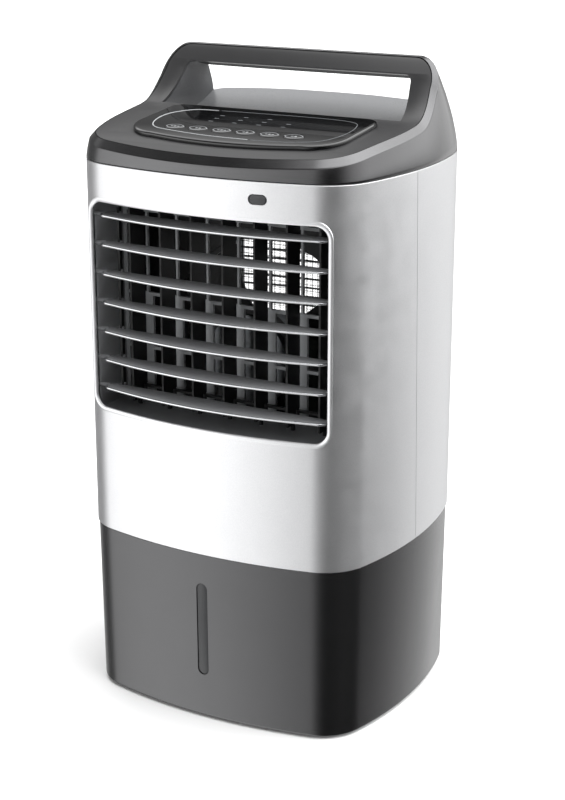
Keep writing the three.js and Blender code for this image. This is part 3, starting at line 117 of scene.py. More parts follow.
def object_space(tree):
    return put(tree, "ShaderNodeTexCoord").outputs["Object"]


def noise(size_mm, detail=2.0, stretch=(1, 1, 1)):
    """Noise with a real size in millimetres, stretched along the object's own axes."""

    def lay(tree):
        where = {"Vector": object_space(tree), "Scale": stretch}
        scaled = put(tree, "ShaderNodeMapping", where).outputs[0]
        grain = {"Vector": scaled, "Scale": 1 / (size_mm * MM), "Detail": detail}
        return put(tree, "ShaderNodeTexNoise", grain).outputs["Fac"]

    return lay


def cells(size_mm):
    """Flat cells of a real size, each with its own shade, like flakes or spangle."""

    def lay(tree):
        flakes = {"Vector": object_space(tree), "Scale": 1 / (size_mm * MM)}
        return put(tree, "ShaderNodeTexVoronoi", flakes).outputs["Color"]

    return lay


def bricks(size_mm, joint):
    """Fine bright lines in a brick bond. The joint is a share of the size."""

    def lay(tree):
        bond = {"Vector": object_space(tree), "Scale": 1 / (size_mm * MM), "Mortar Size": joint}
        return put(tree, "ShaderNodeTexBrick", bond).outputs["Fac"]

    return lay


# %% How a pattern moves the colour, the roughness and the relief
PATTERN_LOW, PATTERN_HIGH = 0.3, 0.7  # nearly all of a noise lies between these levels


def two_tone(tree, shader, pattern, first, second):
    """Lets a pattern move the colour between two hex colours."""
    tones = {0: pattern, 6: linear(first), 7: linear(second)}
    mix = put(tree, "ShaderNodeMix", tones, data_type="RGBA")
    tree.links.new(mix.outputs[2], shader.inputs["Base Color"])


def varied(tree, shader, pattern, low, high):
    """Lets a pattern move the roughness between two values."""
    ends = {"From Min": PATTERN_LOW, "From Max": PATTERN_HIGH, "To Min": low, "To Max": high}
    spread = put(tree, "ShaderNodeMapRange", {"Value": pattern, **ends})
    tree.links.new(spread.outputs[0], shader.inputs["Roughness"])


def raised(tree, shader, pattern, depth_mm):
    """Turns a pattern into relief of a real depth in millimetres."""
    relief = {"Height": pattern, "Distance": depth_mm * MM, "Strength": 1.0}
    bump = put(tree, "ShaderNodeBump", relief)
    tree.links.new(bump.outputs[0], shader.inputs["Normal"])


def surface(name, colour, roughness, tones=None, spread=None, relief=None, **sockets):
    """A finish with up to three patterns. Each is given as a pattern and two ends or a depth."""
    material, tree, shader = finish(name, colour, roughness, **sockets)
    for change, given in ((two_tone, tones), (varied, spread), (raised, relief)):
        if given:
            lay, *ends = given
            change(tree, shader, lay(tree), *ends)
    return material


# %% [markdown]
# ### Painted and moulded shells
#
# The body is ABS sprayed with silver metallic paint: bright flakes a quarter of a millimetre
# across under a satin lacquer, with the slow waves of orange peel. The tank and the top are
# graphite ABS, moulded in a polished tool, so they mirror the room softly and stay dark.

# %% Silver paint and graphite gloss
SILVER = surface(
    "silver_metallic_paint",
    "#e6e7e9",
    0.33,
    tones=(cells(0.3), "#dfe0e2", "#efeff0"),
    spread=(noise(18), 0.31, 0.37),
    relief=(noise(3.5), 0.01),
    metallic=0.9,
    Coat_Weight=0.25,
    Coat_Roughness=0.12,
)
GRAPHITE = surface(
    "graphite_gloss_abs",
    "#565657",
    0.15,
    tones=(noise(0.35, detail=1.0), "#535354", "#59595a"),
    spread=(noise(30), 0.14, 0.2),
    relief=(noise(9), 0.006),
    metallic=0.93,
    Coat_Weight=0.5,
    Coat_Roughness=0.05,
)
print("shell finishes:", SILVER.name, GRAPHITE.name)

# %% [markdown]
# ### Dark plastics
#
# The deck and handle face are moulded with a very fine spark texture, the working parts in
# plain satin plastic. The key panel is a polished black cap. The two windows are smoked.

# %% Dark plastics
TONE_MM = 14  # how slowly the tone of a large moulding drifts


def textured_plastic(name, colour, other, roughness, grain_mm, depth_mm):
    """Moulded plastic whose tool was spark-eroded: a fine even grain breaks up the gloss."""
    grain = noise(grain_mm, detail=3.0)
    return surface(
        name,
        colour,
        roughness,
        tones=(noise(TONE_MM), colour, other),
        spread=(grain, roughness - 0.05, roughness + 0.06),
        relief=(grain, depth_mm),
        ior=1.53,
    )


def polished_plastic(name, colour, roughness, **sockets):
    """Plastic from a polished tool: only a slow unevenness shows in its reflections."""
    spread = (noise(22), roughness * 0.8, roughness * 1.3)
    return surface(name, colour, roughness, spread=spread, relief=(noise(12), 0.004), **sockets)


DECK = textured_plastic("deck_satin_plastic", "#272728", "#2b2b2c", 0.4, 0.5, 0.012)
LOUVRE = textured_plastic("louvre_satin_plastic", "#828385", "#88898b", 0.45, 0.5, 0.01)
# The grip and cheek greys are one satin plastic in two tones: the lighter is painted light on the
# scoop's upward faces, the darker is painted shade on its upright cheeks.
GRIP_PAINTED_LIGHT = textured_plastic("grip_satin_painted_light", "#77787a", "#7d7e80", 0.3, 0.5, 0.006)
CHEEK_PAINTED_SHADE = textured_plastic("cheek_satin_painted_shade", "#505153", "#545557", 0.3, 0.5, 0.006)
BLACK = textured_plastic("black_satin_plastic", "#121314", "#18191a", 0.48, 0.6, 0.015)
GUARD = textured_plastic("guard_grey_plastic", "#96989a", "#9fa1a3", 0.5, 0.6, 0.012)
PANEL = polished_plastic("panel_polished_black", "#0b0b0c", 0.07, Coat_Weight=0.5)
SMOKED = polished_plastic("smoked_window", "#27282a", 0.2)
FLOAT = polished_plastic("float_white_plastic", "#d9dad6", 0.4)
print("dark plastics:", DECK.name, LOUVRE.name, BLACK.name, GUARD.name, PANEL.name)

# %% [markdown]
# ### Metals, rubber and the rest
#
# The louvre strips are chrome-plated plastic: a mirror with hardly any texture. Screws and the
# fan's shaft are plain steel with fine turning lines. The motor's can is zinc-coated sheet. The
# curtain is a honeycomb of stiff wet fibre, the dust net is nylon.

# %% Chrome, steel and motor can
CHROME = surface(
    "chrome_plating",
    "#dfe1e3",
    0.08,
    spread=(noise(6), 0.06, 0.14),
    relief=(noise(8), 0.003),
    metallic=1.0,
)
turning_lines = noise(1.2, stretch=(6, 1, 6))
STEEL = surface(
    "turned_steel",
    "#b1b3b5",
    0.32,
    spread=(turning_lines, 0.25, 0.42),
    relief=(turning_lines, 0.008),
    metallic=1.0,
)
ZINC = surface(
    "zinc_coated_sheet",
    "#8b8e91",
    0.42,
    tones=(cells(5), "#7c7f82", "#96999c"),
    spread=(noise(2), 0.36, 0.5),
    metallic=0.9,
)
print("metals:", CHROME.name, STEEL.name, ZINC.name)

# %% Rubber, fibre, net, board and hose
RUBBER = surface(
    "moulded_rubber",
    "#1f2021",
    0.8,
    tones=(noise(4), "#1c1d1e", "#262728"),
    relief=(noise(0.8, detail=4.0), 0.03),
    ior=1.52,
)
FIBRE = surface(
    "wet_honeycomb_fibre",
    "#454b46",
    0.6,
    tones=(noise(3, detail=4.0), "#39403b", "#545b54"),
    relief=(noise(0.6, stretch=(1, 1, 4)), 0.05),
    ior=1.47,
)
NET = surface("black_nylon_net", "#1a1b1d", 0.55, relief=(noise(0.4), 0.02), ior=1.53)
tracks = bricks(9, 0.04)
BOARD = surface(
    "circuit_board",
    "#1f5b38",
    0.35,
    tones=(tracks, "#1f5b38", "#3f8a5a"),
    relief=(tracks, 0.035),
    ior=1.55,
)
HOSE = surface(
    "silicone_hose",
    "#c4c7c6",
    0.3,
    spread=(noise(5), 0.24, 0.38),
    relief=(noise(6), 0.01),
    ior=1.41,
    Transmission_Weight=0.35,
)
print("soft and small finishes:", RUBBER.name, FIBRE.name, NET.name, BOARD.name, HOSE.name)

# %% [markdown]
# ### Printed marks
#
# The key marks, the inlay and the lamp windows are screen-printed in light grey or silver ink,
# which sits a few hundredths of a millimetre proud and is matt.

# %% Ink


def printing_ink(name, colour):
    return surface(name, colour, 0.6, spread=(noise(1), 0.5, 0.7), relief=(noise(0.5), 0.005))


INK = printing_ink("light_grey_ink", "#939597")
INK_DIM = printing_ink("dim_grey_ink", "#6f7275")
INLAY_SILVER = printing_ink("silver_inlay", "#a6a8aa")
print("inks:", INK.name, INK_DIM.name, INLAY_SILVER.name)


# %% [markdown]
# ## Making shapes
#
# Most of the body is one outline in plan, carried up and down. So the outline is a formula, and
# a piece is a stack of rings skinned with faces. Openings are cut with the Boolean modifier,
# which is baked straight away so that each piece ends as one plain mesh.

# %% Mesh helpers
scene = bpy.context.scene


def make(name, points, faces, material=None):
    """A new mesh object from points and faces, at the origin."""
    mesh = bpy.data.meshes.new(name)
    mesh.from_pydata([tuple(p) for p in points], [], faces)
    if material:
        mesh.materials.append(material)
    obj = bpy.data.objects.new(name, mesh)
    scene.collection.objects.link(obj)
    return obj


def skin(name, rings, material=None, closed=False, caps=True):
    """Faces between rings of equal length. The ends are capped, or the last meets the first."""
    count = len(rings[0])
    points = [p for ring in rings for p in ring]
    faces = []
    for r in range(len(rings) if closed else len(rings) - 1):
        a, b = r * count, (r + 1) % len(rings) * count
        for i in range(count):
            j = (i + 1) % count
            faces.append((a + i, a + j, b + j, b + i))
    if caps and not closed:
        last = (len(rings) - 1) * count
        faces.append(tuple(reversed(range(count))))
        faces.append(tuple(range(last, last + count)))
    return make(name, points, faces, material)


def outward(obj):
    """Turns all faces outwards, once doubled points are merged."""
    mesh = bmesh.new()
    mesh.from_mesh(obj.data)
    bmesh.ops.remove_doubles(mesh, verts=mesh.verts, dist=0.002 * MM)
    bmesh.ops.recalc_face_normals(mesh, faces=mesh.faces)
    mesh.to_mesh(obj.data)
    mesh.free()
    return obj


def settle(obj):
    """Replaces the mesh with what its modifiers make of it, and drops the modifiers."""
    depsgraph = bpy.context.evaluated_depsgraph_get()
    mesh = bpy.data.meshes.new_from_object(obj.evaluated_get(depsgraph))
    obj.modifiers.clear()
    old = obj.data
    obj.data = mesh
    bpy.data.meshes.remove(old)
    return obj


def carve(obj, *tools, how="DIFFERENCE"):
    """Cuts, joins or intersects with each tool in turn, and throws the tools away."""
    for tool in tools:
        step = obj.modifiers.new("carve", "BOOLEAN")
        step.solver = "EXACT"
        step.operation = how
        step.object = tool
        settle(obj)
        bpy.data.objects.remove(tool)
    return obj


def smooth(obj, angle=32):
    """Smooth shading, with edges sharper than an angle in degrees kept crisp."""
    obj.data.polygons.foreach_set("use_smooth", [True] * len(obj.data.polygons))
    obj.data.set_sharp_from_angle(angle=math.radians(angle))
    return obj


def softened(obj, width_mm, segments=2, angle=40):
    """Rounds the edges that are sharper than an angle, as a mould does."""
    step = obj.modifiers.new("soft edges", "BEVEL")
    step.width = width_mm * MM
    step.segments = segments
    step.limit_method = "ANGLE"
    step.angle_limit = math.radians(angle)
    return settle(obj)


# %% Prisms and boxes, as cutting tools and simple parts


def prism(name, outline, axis, start, end, material=None):
    """A flat outline carried along an axis. It is given in the two other axes, in order."""
    spots = {
        "x": lambda p, d: (d, p[0], p[1]),
        "y": lambda p, d: (p[0], d, p[1]),
        "z": lambda p, d: (p[0], p[1], d),
    }[axis]
    rings = [[Vector(spots(p, d)) for p in outline] for d in (start, end)]
    return outward(skin(name, rings, material))


def block(name, low, high, material=None):
    outline = [(low[0], low[1]), (high[0], low[1]), (high[0], high[1]), (low[0], high[1])]
    return prism(name, outline, "z", low[2], high[2], material)


def arc(centre, radius, start, end, steps):
    """Points on an arc, with angles in degrees. A pair of radii makes it an ellipse."""
    rx, ry = radius if isinstance(radius, tuple) else (radius, radius)
    angles = [math.radians(start + (end - start) * i / steps) for i in range(steps + 1)]
    return [(centre[0] + rx * math.cos(a), centre[1] + ry * math.sin(a)) for a in angles]


def rounded_rectangle(left, low, right, high, radius, steps=8):
    return [
        *arc((right - radius, low + radius), radius, -90, 0, steps),
        *arc((right - radius, high - radius), radius, 0, 90, steps),
        *arc((left + radius, high - radius), radius, 90, 180, steps),
        *arc((left + radius, low + radius), radius, 180, 270, steps),
    ]


def tube(name, path, section, material, closed=False):
    """Carries a section along a path. A section point is (across, up) from the path."""
    rings = []
    for i, point in enumerate(path):
        before = path[i - 1] if closed or i else point
        after = path[(i + 1) % len(path)] if closed or i < len(path) - 1 else point
        along = (after - before).normalized()
        across = along.cross(Vector((0, 0, 1))).normalized()
        up = across.cross(along)
        rings.append([point + across * a + up * b for a, b in section])
    return outward(skin(name, rings, material, closed=closed))


print("shape helpers ready")

# %% [markdown]
# ## The plan of the body
#
# Seen from above the cooler is a soft rectangle: a wide arc in front and behind, an arc on each
# side and four round corners that touch them. Half of it is listed as arcs, from the middle of
# the front to the middle of the back, and the other half is its mirror image.

# %% The plan as a formula
FRONT_RADIUS = 450 * MM
SIDE_RADIUS = 349 * MM
CORNER_RADIUS = 46.7 * MM
HANDLE_START = 35 * MM  # the handle's corner begins this far behind the middle
WALL = 2.5 * MM
half_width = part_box("rear_shell")[1].x
half_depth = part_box("top_housing")[1].y
front_centre = Vector((0, FRONT_RADIUS - half_depth))
side_centre = Vector((half_width - SIDE_RADIUS, 0))


def corner_centre():
    """Where a corner circle touches the front arc and the side arc from inside."""
    to_front, to_side = FRONT_RADIUS - CORNER_RADIUS, SIDE_RADIUS - CORNER_RADIUS
    line = side_centre - front_centre
    span = line.length
    along = (to_front**2 - to_side**2 + span**2) / (2 * span)
    across = math.sqrt(to_front**2 - along**2)
    line.normalize()
    return front_centre + line * along + Vector((-line.y, line.x)) * across


corner = corner_centre()
front_angle = math.atan2(*reversed(corner - front_centre))
side_angle = math.atan2(*reversed(corner - side_centre))
handle_angle = math.asin(HANDLE_START / SIDE_RADIUS)


def behind(centre):
    return Vector((centre.x, -centre.y))


half_plan = [
    (front_centre, FRONT_RADIUS, -math.pi / 2, front_angle, 24),
    (corner, CORNER_RADIUS, front_angle, side_angle, 16),
    (side_centre, SIDE_RADIUS, side_angle, handle_angle, 24),
    (side_centre, SIDE_RADIUS, handle_angle, -side_angle, 6),
    (behind(corner), CORNER_RADIUS, -side_angle, -front_angle, 14),
    (behind(front_centre), FRONT_RADIUS, -front_angle, math.pi / 2, 20),
]
FACE_STATIONS = sum(part[4] for part in half_plan[:3])


def half_outline(inset=0.0):
    points = []
    for centre, radius, start, end, steps in half_plan:
        for i in range(1 if points else 0, steps + 1):
            angle = start + (end - start) * i / steps
            reach = radius - inset
            points.append(centre + Vector((math.cos(angle), math.sin(angle))) * reach)
    points[0].x = points[-1].x = 0
    return points


def whole(half):
    """A full ring from its right half, whose first and last points are on the middle."""
    return half + [Vector((-p.x, p.y, p.z)) for p in reversed(half[1:-1])]


def plan_ring(inset, z):
    return whole([Vector((p.x, p.y, z)) for p in half_outline(inset)])


def front_y(x, inset=0.0):
    """The y of the front arc at x. The back arc is its mirror image."""
    return front_centre.y - math.sqrt((FRONT_RADIUS - inset) ** 2 - x * x)


print("plan, mm:", round(2000 * half_width, 1), "x", round(2000 * half_depth, 1))

# %% [markdown]
# ## The water tank
#
# A deep cup that tapers a little towards the floor, so that it leaves its mould. Its foot edge
# is rounded, its rim is thin. A long window in front shows the water level.

# %% The tank
tank_low, tank_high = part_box("water_tank")
TANK_WALL = 2.6 * MM
TANK_FLOOR = 5 * MM
TOP_INSET = 1.2 * MM
FOOT_INSET = 2.8 * MM
FOOT_ROUND = 3 * MM
RIM_ROUND = 0.4 * MM
GAP = 0.4 * MM
DRAIN_HOLE = 7.4 * MM
WINDOW_SINK = 0.6 * MM


def tank_inset(z):
    share = (z - tank_low.z) / (tank_high.z - tank_low.z)
    return FOOT_INSET + (TOP_INSET - FOOT_INSET) * share


def tank_ring(extra, z):
    return plan_ring(tank_inset(z) + extra, z)


def level_outline(grow):
    low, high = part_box("level_window")
    half = (high.x - low.x) / 2 + grow
    return rounded_rectangle(-half, low.z - grow, half, high.z + grow, half - 0.01 * MM, 10)


def make_tank():
    foot = arc((FOOT_ROUND, FOOT_ROUND), FOOT_ROUND, 270, 180, 6)
    rim = tank_high.z
    rings = [tank_ring(inset, tank_low.z + rise) for inset, rise in foot]
    rings += [
        tank_ring(0, rim - RIM_ROUND),
        tank_ring(RIM_ROUND, rim),
        tank_ring(TANK_WALL - RIM_ROUND, rim),
        tank_ring(TANK_WALL, rim - RIM_ROUND),
        tank_ring(TANK_WALL, tank_low.z + TANK_FLOOR + FOOT_ROUND),
        tank_ring(TANK_WALL + FOOT_ROUND, tank_low.z + TANK_FLOOR),
    ]
    tank = skin("tank_shell", rings, GRAPHITE)
    slot = prism("slot", level_outline(GAP), "y", -half_depth - WALL, -half_depth + 4 * WALL)
    low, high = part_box("drain_plug")
    bore = arc((0, (low.z + high.z) / 2), DRAIN_HOLE, 0, 345, 23)
    hole = prism("hole", bore, "y", half_depth - 12 * MM, half_depth + WALL)
    smooth(carve(tank, slot, hole))
    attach(tank, "tank")
    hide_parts("water_tank")
    return tank


def make_level_window():
    """A smoked strip that lies a little behind the tank's face."""
    low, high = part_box("level_window")
    pill = prism("level_strip", level_outline(0), "y", low.y - WALL, high.y, SMOKED)
    ends = (low.z - 10 * MM, high.z + 10 * MM)
    inside = skin("inside", [tank_ring(WINDOW_SINK, z) for z in ends])
    softened(carve(pill, inside, how="INTERSECT"), 0.4)
    smooth(pill)
    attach(pill, "tank")
    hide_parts("level_window")


tank = make_tank()
make_level_window()
print("tank faces:", len(tank.data.polygons))

# %% [markdown]
# ## The body shells
#
# Two silver shells meet in a slanting line down each side. The front one has the air outlet,
# with a rounded lip, and the small window of the remote control's receiver. The rear one has a
# wide recess for the filter cover.

# %% Tube of the body, cut in two by a slanting plane
body_low, body_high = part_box("front_shell")
FRONT_SPLIT = (-4.3 * MM, -17.3 * MM)  # where the front shell ends, at its foot and at its head
REAR_SPLIT = (-3.7 * MM, -16.7 * MM)
EDGE = 0.4 * MM


def body_tube(name, low, high, material):
    rings = [
        plan_ring(EDGE, low),
        plan_ring(0, low + EDGE),
        plan_ring(0, high - EDGE),
        plan_ring(EDGE, high),
        plan_ring(WALL, high),
        plan_ring(WALL, low),
    ]
    return skin(name, rings, material, closed=True)


def half_space(split, side):
    far = side * 2 * half_depth
    reach = 5 * MM
    outline = [
        (far, body_low.z - reach),
        (split[0], body_low.z - reach),
        (split[1], body_high.z + reach),
        (far, body_high.z + reach),
    ]
    return prism("half", outline, "x", -2 * half_width, 2 * half_width)


# %% The front shell
OUTLET_HALF = 120 * MM
OUTLET_LOW = 276.5 * MM
OUTLET_HIGH = 469 * MM
OUTLET_ROUND = 14 * MM
LIP = 2.4 * MM
LIP_FLATNESS = 0.65
LIP_OVERHANG = 0.4 * MM
FRONT_CUT = -60 * MM  # the outlet and the window are cut back to here


def outlet_outline(grow=0.0, steps=8):
    return rounded_rectangle(
        -OUTLET_HALF - grow,
        OUTLET_LOW - grow,
        OUTLET_HALF + grow,
        OUTLET_HIGH + grow,
        OUTLET_ROUND + grow,
        steps,
    )


def receiver_outline(grow):
    low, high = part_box("receiver_window")
    round_end = (high.z - low.z) / 2 + grow - 0.01 * MM
    return rounded_rectangle(
        low.x - grow, low.z - grow, high.x + grow, high.z + grow, round_end, 10
    )


def make_front_shell():
    shell = body_tube("front_cover", body_low.z, body_high.z, SILVER)
    carve(shell, half_space(FRONT_SPLIT, -1), how="INTERSECT")
    outlet = prism("outlet", outlet_outline(), "y", -2 * half_depth, FRONT_CUT)
    window = prism("window", receiver_outline(GAP), "y", -2 * half_depth, FRONT_CUT)
    smooth(carve(shell, outlet, window))
    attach(shell, "housing")
    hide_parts("front_shell")
    return shell


def make_outlet_lip():
    """The bead round the outlet: a round section that follows the opening and the curved face."""
    corners = outlet_outline(-LIP_OVERHANG, 10)
    path = []
    for i, (x, z) in enumerate(corners):
        next_x, next_z = corners[(i + 1) % len(corners)]
        steps = max(1, round(math.hypot(next_x - x, next_z - z) / (6 * MM)))
        path += [
            (x + (next_x - x) * k / steps, z + (next_z - z) * k / steps) for k in range(steps)
        ]
    spine = [Vector((x, front_y(x, WALL / 2), z)) for x, z in path]
    rings = []
    for i, point in enumerate(spine):
        along = spine[(i + 1) % len(spine)] - spine[i - 1]
        out = Vector((along.z, 0, -along.x)).normalized()
        forward = Vector((0, -LIP_FLATNESS, 0))
        section = arc((0, 0), LIP, 0, 330, 11)
        rings.append([point + out * a + forward * b for a, b in section])
    lip = smooth(outward(skin("outlet_lip", rings, SILVER, closed=True)))
    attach(lip, "housing")


def make_receiver_window():
    low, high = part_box("receiver_window")
    lens = prism("receiver_lens", receiver_outline(0), "y", low.y + 0.2 * MM, high.y, SMOKED)
    smooth(softened(lens, 0.6, 3))
    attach(lens, "housing")
    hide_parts("receiver_window")


front_cover = make_front_shell()
make_outlet_lip()
make_receiver_window()
print("front shell faces:", len(front_cover.data.polygons))

# %% The rear shell
cover_low, cover_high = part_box("rear_filter_cover")
PLATE_MARGIN = 4 * MM
WINDOW_MARGIN_X = 2 * MM
WINDOW_MARGIN_Z = 6 * MM
GLAND_HOLE = 4.9 * MM
SCREW_HOLE = 1.9 * MM


def make_rear_shell():
    shell = body_tube("rear_cover", body_low.z, body_high.z, SILVER)
    carve(shell, half_space(REAR_SPLIT, 1), how="INTERSECT")
    recess = block(
        "recess",
        (-2 * half_width, cover_low.y - GAP, cover_low.z - GAP),
        (2 * half_width, 2 * half_depth, cover_high.z + GAP),
    )
    frame_low, frame_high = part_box("curtain_frame")
    plate = block(
        "plate",
        (-half_width, cover_low.y - GAP - WALL, cover_low.z - PLATE_MARGIN),
        (half_width, cover_low.y - GAP, frame_high.z + PLATE_MARGIN),
    )
    rounded = skin("rounded", [plan_ring(WALL / 2, body_low.z), plan_ring(WALL / 2, body_high.z)])
    carve(plate, rounded, how="INTERSECT")
    window = block(
        "window",
        (frame_low.x - WINDOW_MARGIN_X, 0, frame_low.z + WINDOW_MARGIN_Z),
        (frame_high.x + WINDOW_MARGIN_X, half_depth, frame_high.z - WINDOW_MARGIN_Z),
    )
    carve(plate, window)
    carve(shell, recess)
    carve(shell, plate, how="UNION")
    gland_low, gland_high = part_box("cord_gland")
    middle = (gland_low + gland_high) / 2
    bores = [((middle.x, middle.z), GLAND_HOLE)]
    for n in range(1, 5):
        low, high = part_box(f"shell_screw_{n}")
        bores.append((((low.x + high.x) / 2, (low.z + high.z) / 2), SCREW_HOLE))
    for centre, radius in bores:
        bore = prism("bore", arc(centre, radius, 0, 345, 23), "y", 90 * MM, 150 * MM)
        carve(shell, bore)
    smooth(shell)
    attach(shell, "housing")
    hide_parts("rear_shell")
    return shell


rear_cover = make_rear_shell()
print("rear shell faces:", len(rear_cover.data.polygons))

# %% [markdown]
# ## The filter cover
#
# The cover closes the back. Air comes in between thin slats that slope down outwards, so that
# rain and light stay out and a curtain's spray stays in. One slat is drawn once, and Geometry
# Nodes stack it up: thirty of them at a set pitch, made real at the end.

# %% A Geometry Nodes helper
def repeat_tree(name, material):
    """A tree that stacks a source object along an offset, then makes the copies real."""
    tree = bpy.data.node_groups.new(name, "GeometryNodeTree")
    for title, kind in (
        ("Source", "NodeSocketObject"),
        ("Count", "NodeSocketInt"),
        ("Start", "NodeSocketVector"),
        ("Step", "NodeSocketVector"),
    ):
        tree.interface.new_socket(title, in_out="INPUT", socket_type=kind)
    tree.interface.new_socket("Geometry", in_out="OUTPUT", socket_type="NodeSocketGeometry")
    inputs = tree.nodes.new("NodeGroupInput").outputs
    source = put(tree, "GeometryNodeObjectInfo", {"Object": inputs["Source"]})
    line = put(
        tree,
        "GeometryNodeMeshLine",
        {"Count": inputs["Count"], "Start Location": inputs["Start"], "Offset": inputs["Step"]},
    )
    copies = put(
        tree,
        "GeometryNodeInstanceOnPoints",
        {"Points": line.outputs["Mesh"], "Instance": source.outputs["Geometry"]},
    )
    real = put(tree, "GeometryNodeRealizeInstances", {"Geometry": copies.outputs[0]})
    painted = put(tree, "GeometryNodeSetMaterial", {"Geometry": real.outputs[0]})
    painted.inputs["Material"].default_value = material
    put(tree, "NodeGroupOutput", {"Geometry": painted.outputs[0]})
    return tree


def repeated(name, source, material, count, start, step):
    """Stacks copies of a source object, bakes them into one mesh and drops the source."""
    tree = repeat_tree(name, material)
    obj = make(name, [(0, 0, 0)], [])
    grower = obj.modifiers.new("repeat", "NODES")
    grower.node_group = tree
    values = {"Source": source, "Count": count, "Start": start, "Step": step}
    for item in tree.interface.items_tree:
        if item.in_out == "INPUT":
            grower[item.identifier] = values[item.name]
    settle(obj)
    bpy.data.objects.remove(source)
    return obj


# %% The cover's shell, ribs and slats
GRILLE_HALF = 103 * MM
SLATS = 31
SLAT_PITCH = 9 * MM
SLAT_THICK = 2 * MM
SLAT_DEPTH = 9 * MM
SLAT_SLOPE = 0.27
SLAT_SINK = 0.3 * MM
SLAT_EDGE = 0.5 * MM
RIB_WIDTH = 4 * MM
GRILLE_LOW = cover_low.z + 13.5 * MM
GRILLE_HIGH = GRILLE_LOW + (SLATS - 1) * SLAT_PITCH


def slat():
    """One slat that follows the back arc, with a rounded outer edge."""
    steps = 24
    section = [
        (SLAT_DEPTH, SLAT_DEPTH * SLAT_SLOPE),
        (SLAT_SINK + SLAT_EDGE, 0),
        (SLAT_SINK, SLAT_EDGE),
        (SLAT_SINK, SLAT_THICK - SLAT_EDGE),
        (SLAT_SINK + SLAT_EDGE, SLAT_THICK),
        (SLAT_DEPTH, SLAT_DEPTH * SLAT_SLOPE + SLAT_THICK),
    ]
    rings = []
    for i in range(steps + 1):
        x = GRILLE_HALF * (2 * i / steps - 1) * 1.005
        rings.append([Vector((x, -front_y(x, depth), rise)) for depth, rise in section])
    return outward(skin("slat", rings))


def make_filter_cover():
    shell = body_tube("filter_cover", cover_low.z, cover_high.z, SILVER)
    reach = 2 * half_width
    carve(
        shell,
        block("back", (-reach, cover_low.y, 0), (reach, 2 * half_depth, 1)),
        how="INTERSECT",
    )
    opening = rounded_rectangle(
        -GRILLE_HALF, GRILLE_LOW, GRILLE_HALF, GRILLE_HIGH + SLAT_THICK, 3 * MM, 4
    )
    carve(shell, prism("opening", opening, "y", cover_low.y, 2 * half_depth))
    smooth(shell)
    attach(shell, "filter_cover")
    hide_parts("rear_filter_cover")
    return shell


def make_grille():
    start = (0, 0, GRILLE_LOW + SLAT_PITCH - SLAT_THICK / 2)
    slats = repeated("cover_slats", slat(), SILVER, SLATS - 1, start, (0, 0, SLAT_PITCH))
    smooth(slats)
    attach(slats, "filter_cover")
    for n in (-1, 0, 1):
        x = n * (GRILLE_HALF + RIB_WIDTH / 2) / 2
        back = -front_y(x)
        rib = block(
            f"cover_rib_{n + 2}",
            (x - RIB_WIDTH / 2, back - SLAT_DEPTH, GRILLE_LOW - MM),
            (x + RIB_WIDTH / 2, back - 0.5 * MM, GRILLE_HIGH + 3 * MM),
            SILVER,
        )
        smooth(softened(rib, 0.5))
        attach(rib, "filter_cover")
    return slats


filter_cover = make_filter_cover()
slats = make_grille()
print("cover faces:", len(filter_cover.data.polygons), "slat faces:", len(slats.data.polygons))

# %% [markdown]
# ## The top
#
# From the side the deck rises gently from the front and then sweeps up into the handle. One
# smooth curve gives that line. The top's outer face leans in as it rises, and a chamfer runs
# round the whole face. Under the handle's bar a scooped gap takes the fingers.

# %% The deck's line in side view
TOP_BASE = body_high.z + 0.6 * MM
DECK_POINTS = [(-140, 12.6), (-127, 15.6), (-100, 21.6), (-66, 27.1), (-17, 32.6), (5, 36.6)]
DECK_POINTS += [(20, 46.1), (32, 60.1), (40, 71.6), (48, 84.5), (52, 91)]


def smooth_line(points, count):
    """A smooth curve through points, with the ends held, as a spring ruler lies."""
    ends = [points[0], *points, points[-1]]
    line = []
    for step in range(count + 1):
        place = step / count * (len(points) - 1)
        i = min(int(place), len(points) - 2)
        t = place - i
        a, b, c, d = (Vector(p) for p in ends[i : i + 4])
        pull_b, pull_c = (c - a) / 2, (d - b) / 2
        line.append(
            (2 * b - 2 * c + pull_b + pull_c) * t**3
            + (3 * c - 3 * b - 2 * pull_b - pull_c) * t**2
            + pull_b * t
            + b
        )
    return line


deck_line = smooth_line([(y * MM, TOP_BASE + z * MM) for y, z in DECK_POINTS], 400)


def along_deck(key, value):
    after = next((i for i, p in enumerate(deck_line) if p[key] >= value), len(deck_line) - 1)
    a, b = deck_line[max(after, 1) - 1], deck_line[max(after, 1)]
    return a[1 - key] + (value - a[key]) / (b[key] - a[key]) * (b[1 - key] - a[1 - key])


def deck_z(y):
    return along_deck(0, y)


def deck_y(z):
    return along_deck(1, z)


def deck_normal(y):
    """The deck's unit normal in the YZ plane."""
    span = 0.5 * MM
    slope = (deck_z(y + span) - deck_z(y - span)) / (2 * span)
    return Vector((-slope, 1)).normalized()


print("deck height at its front edge, mm:", round(deck_z(-0.12) / MM, 1))

# %% The rim of the face
CHAMFER = 5.5 * MM
HANDLE_CORNER_X = 117 * MM
HANDLE_CORNER_RISE = 62.9 * MM
HANDLE_CORNER_RADIUS = 24.2 * MM
RIDGE_BACK = 2.5 * MM
LEAN = 0.09
ridge_z = TOP_BASE + HANDLE_CORNER_RISE + HANDLE_CORNER_RADIUS


def lean(z):
    return MM + LEAN * (z - TOP_BASE)


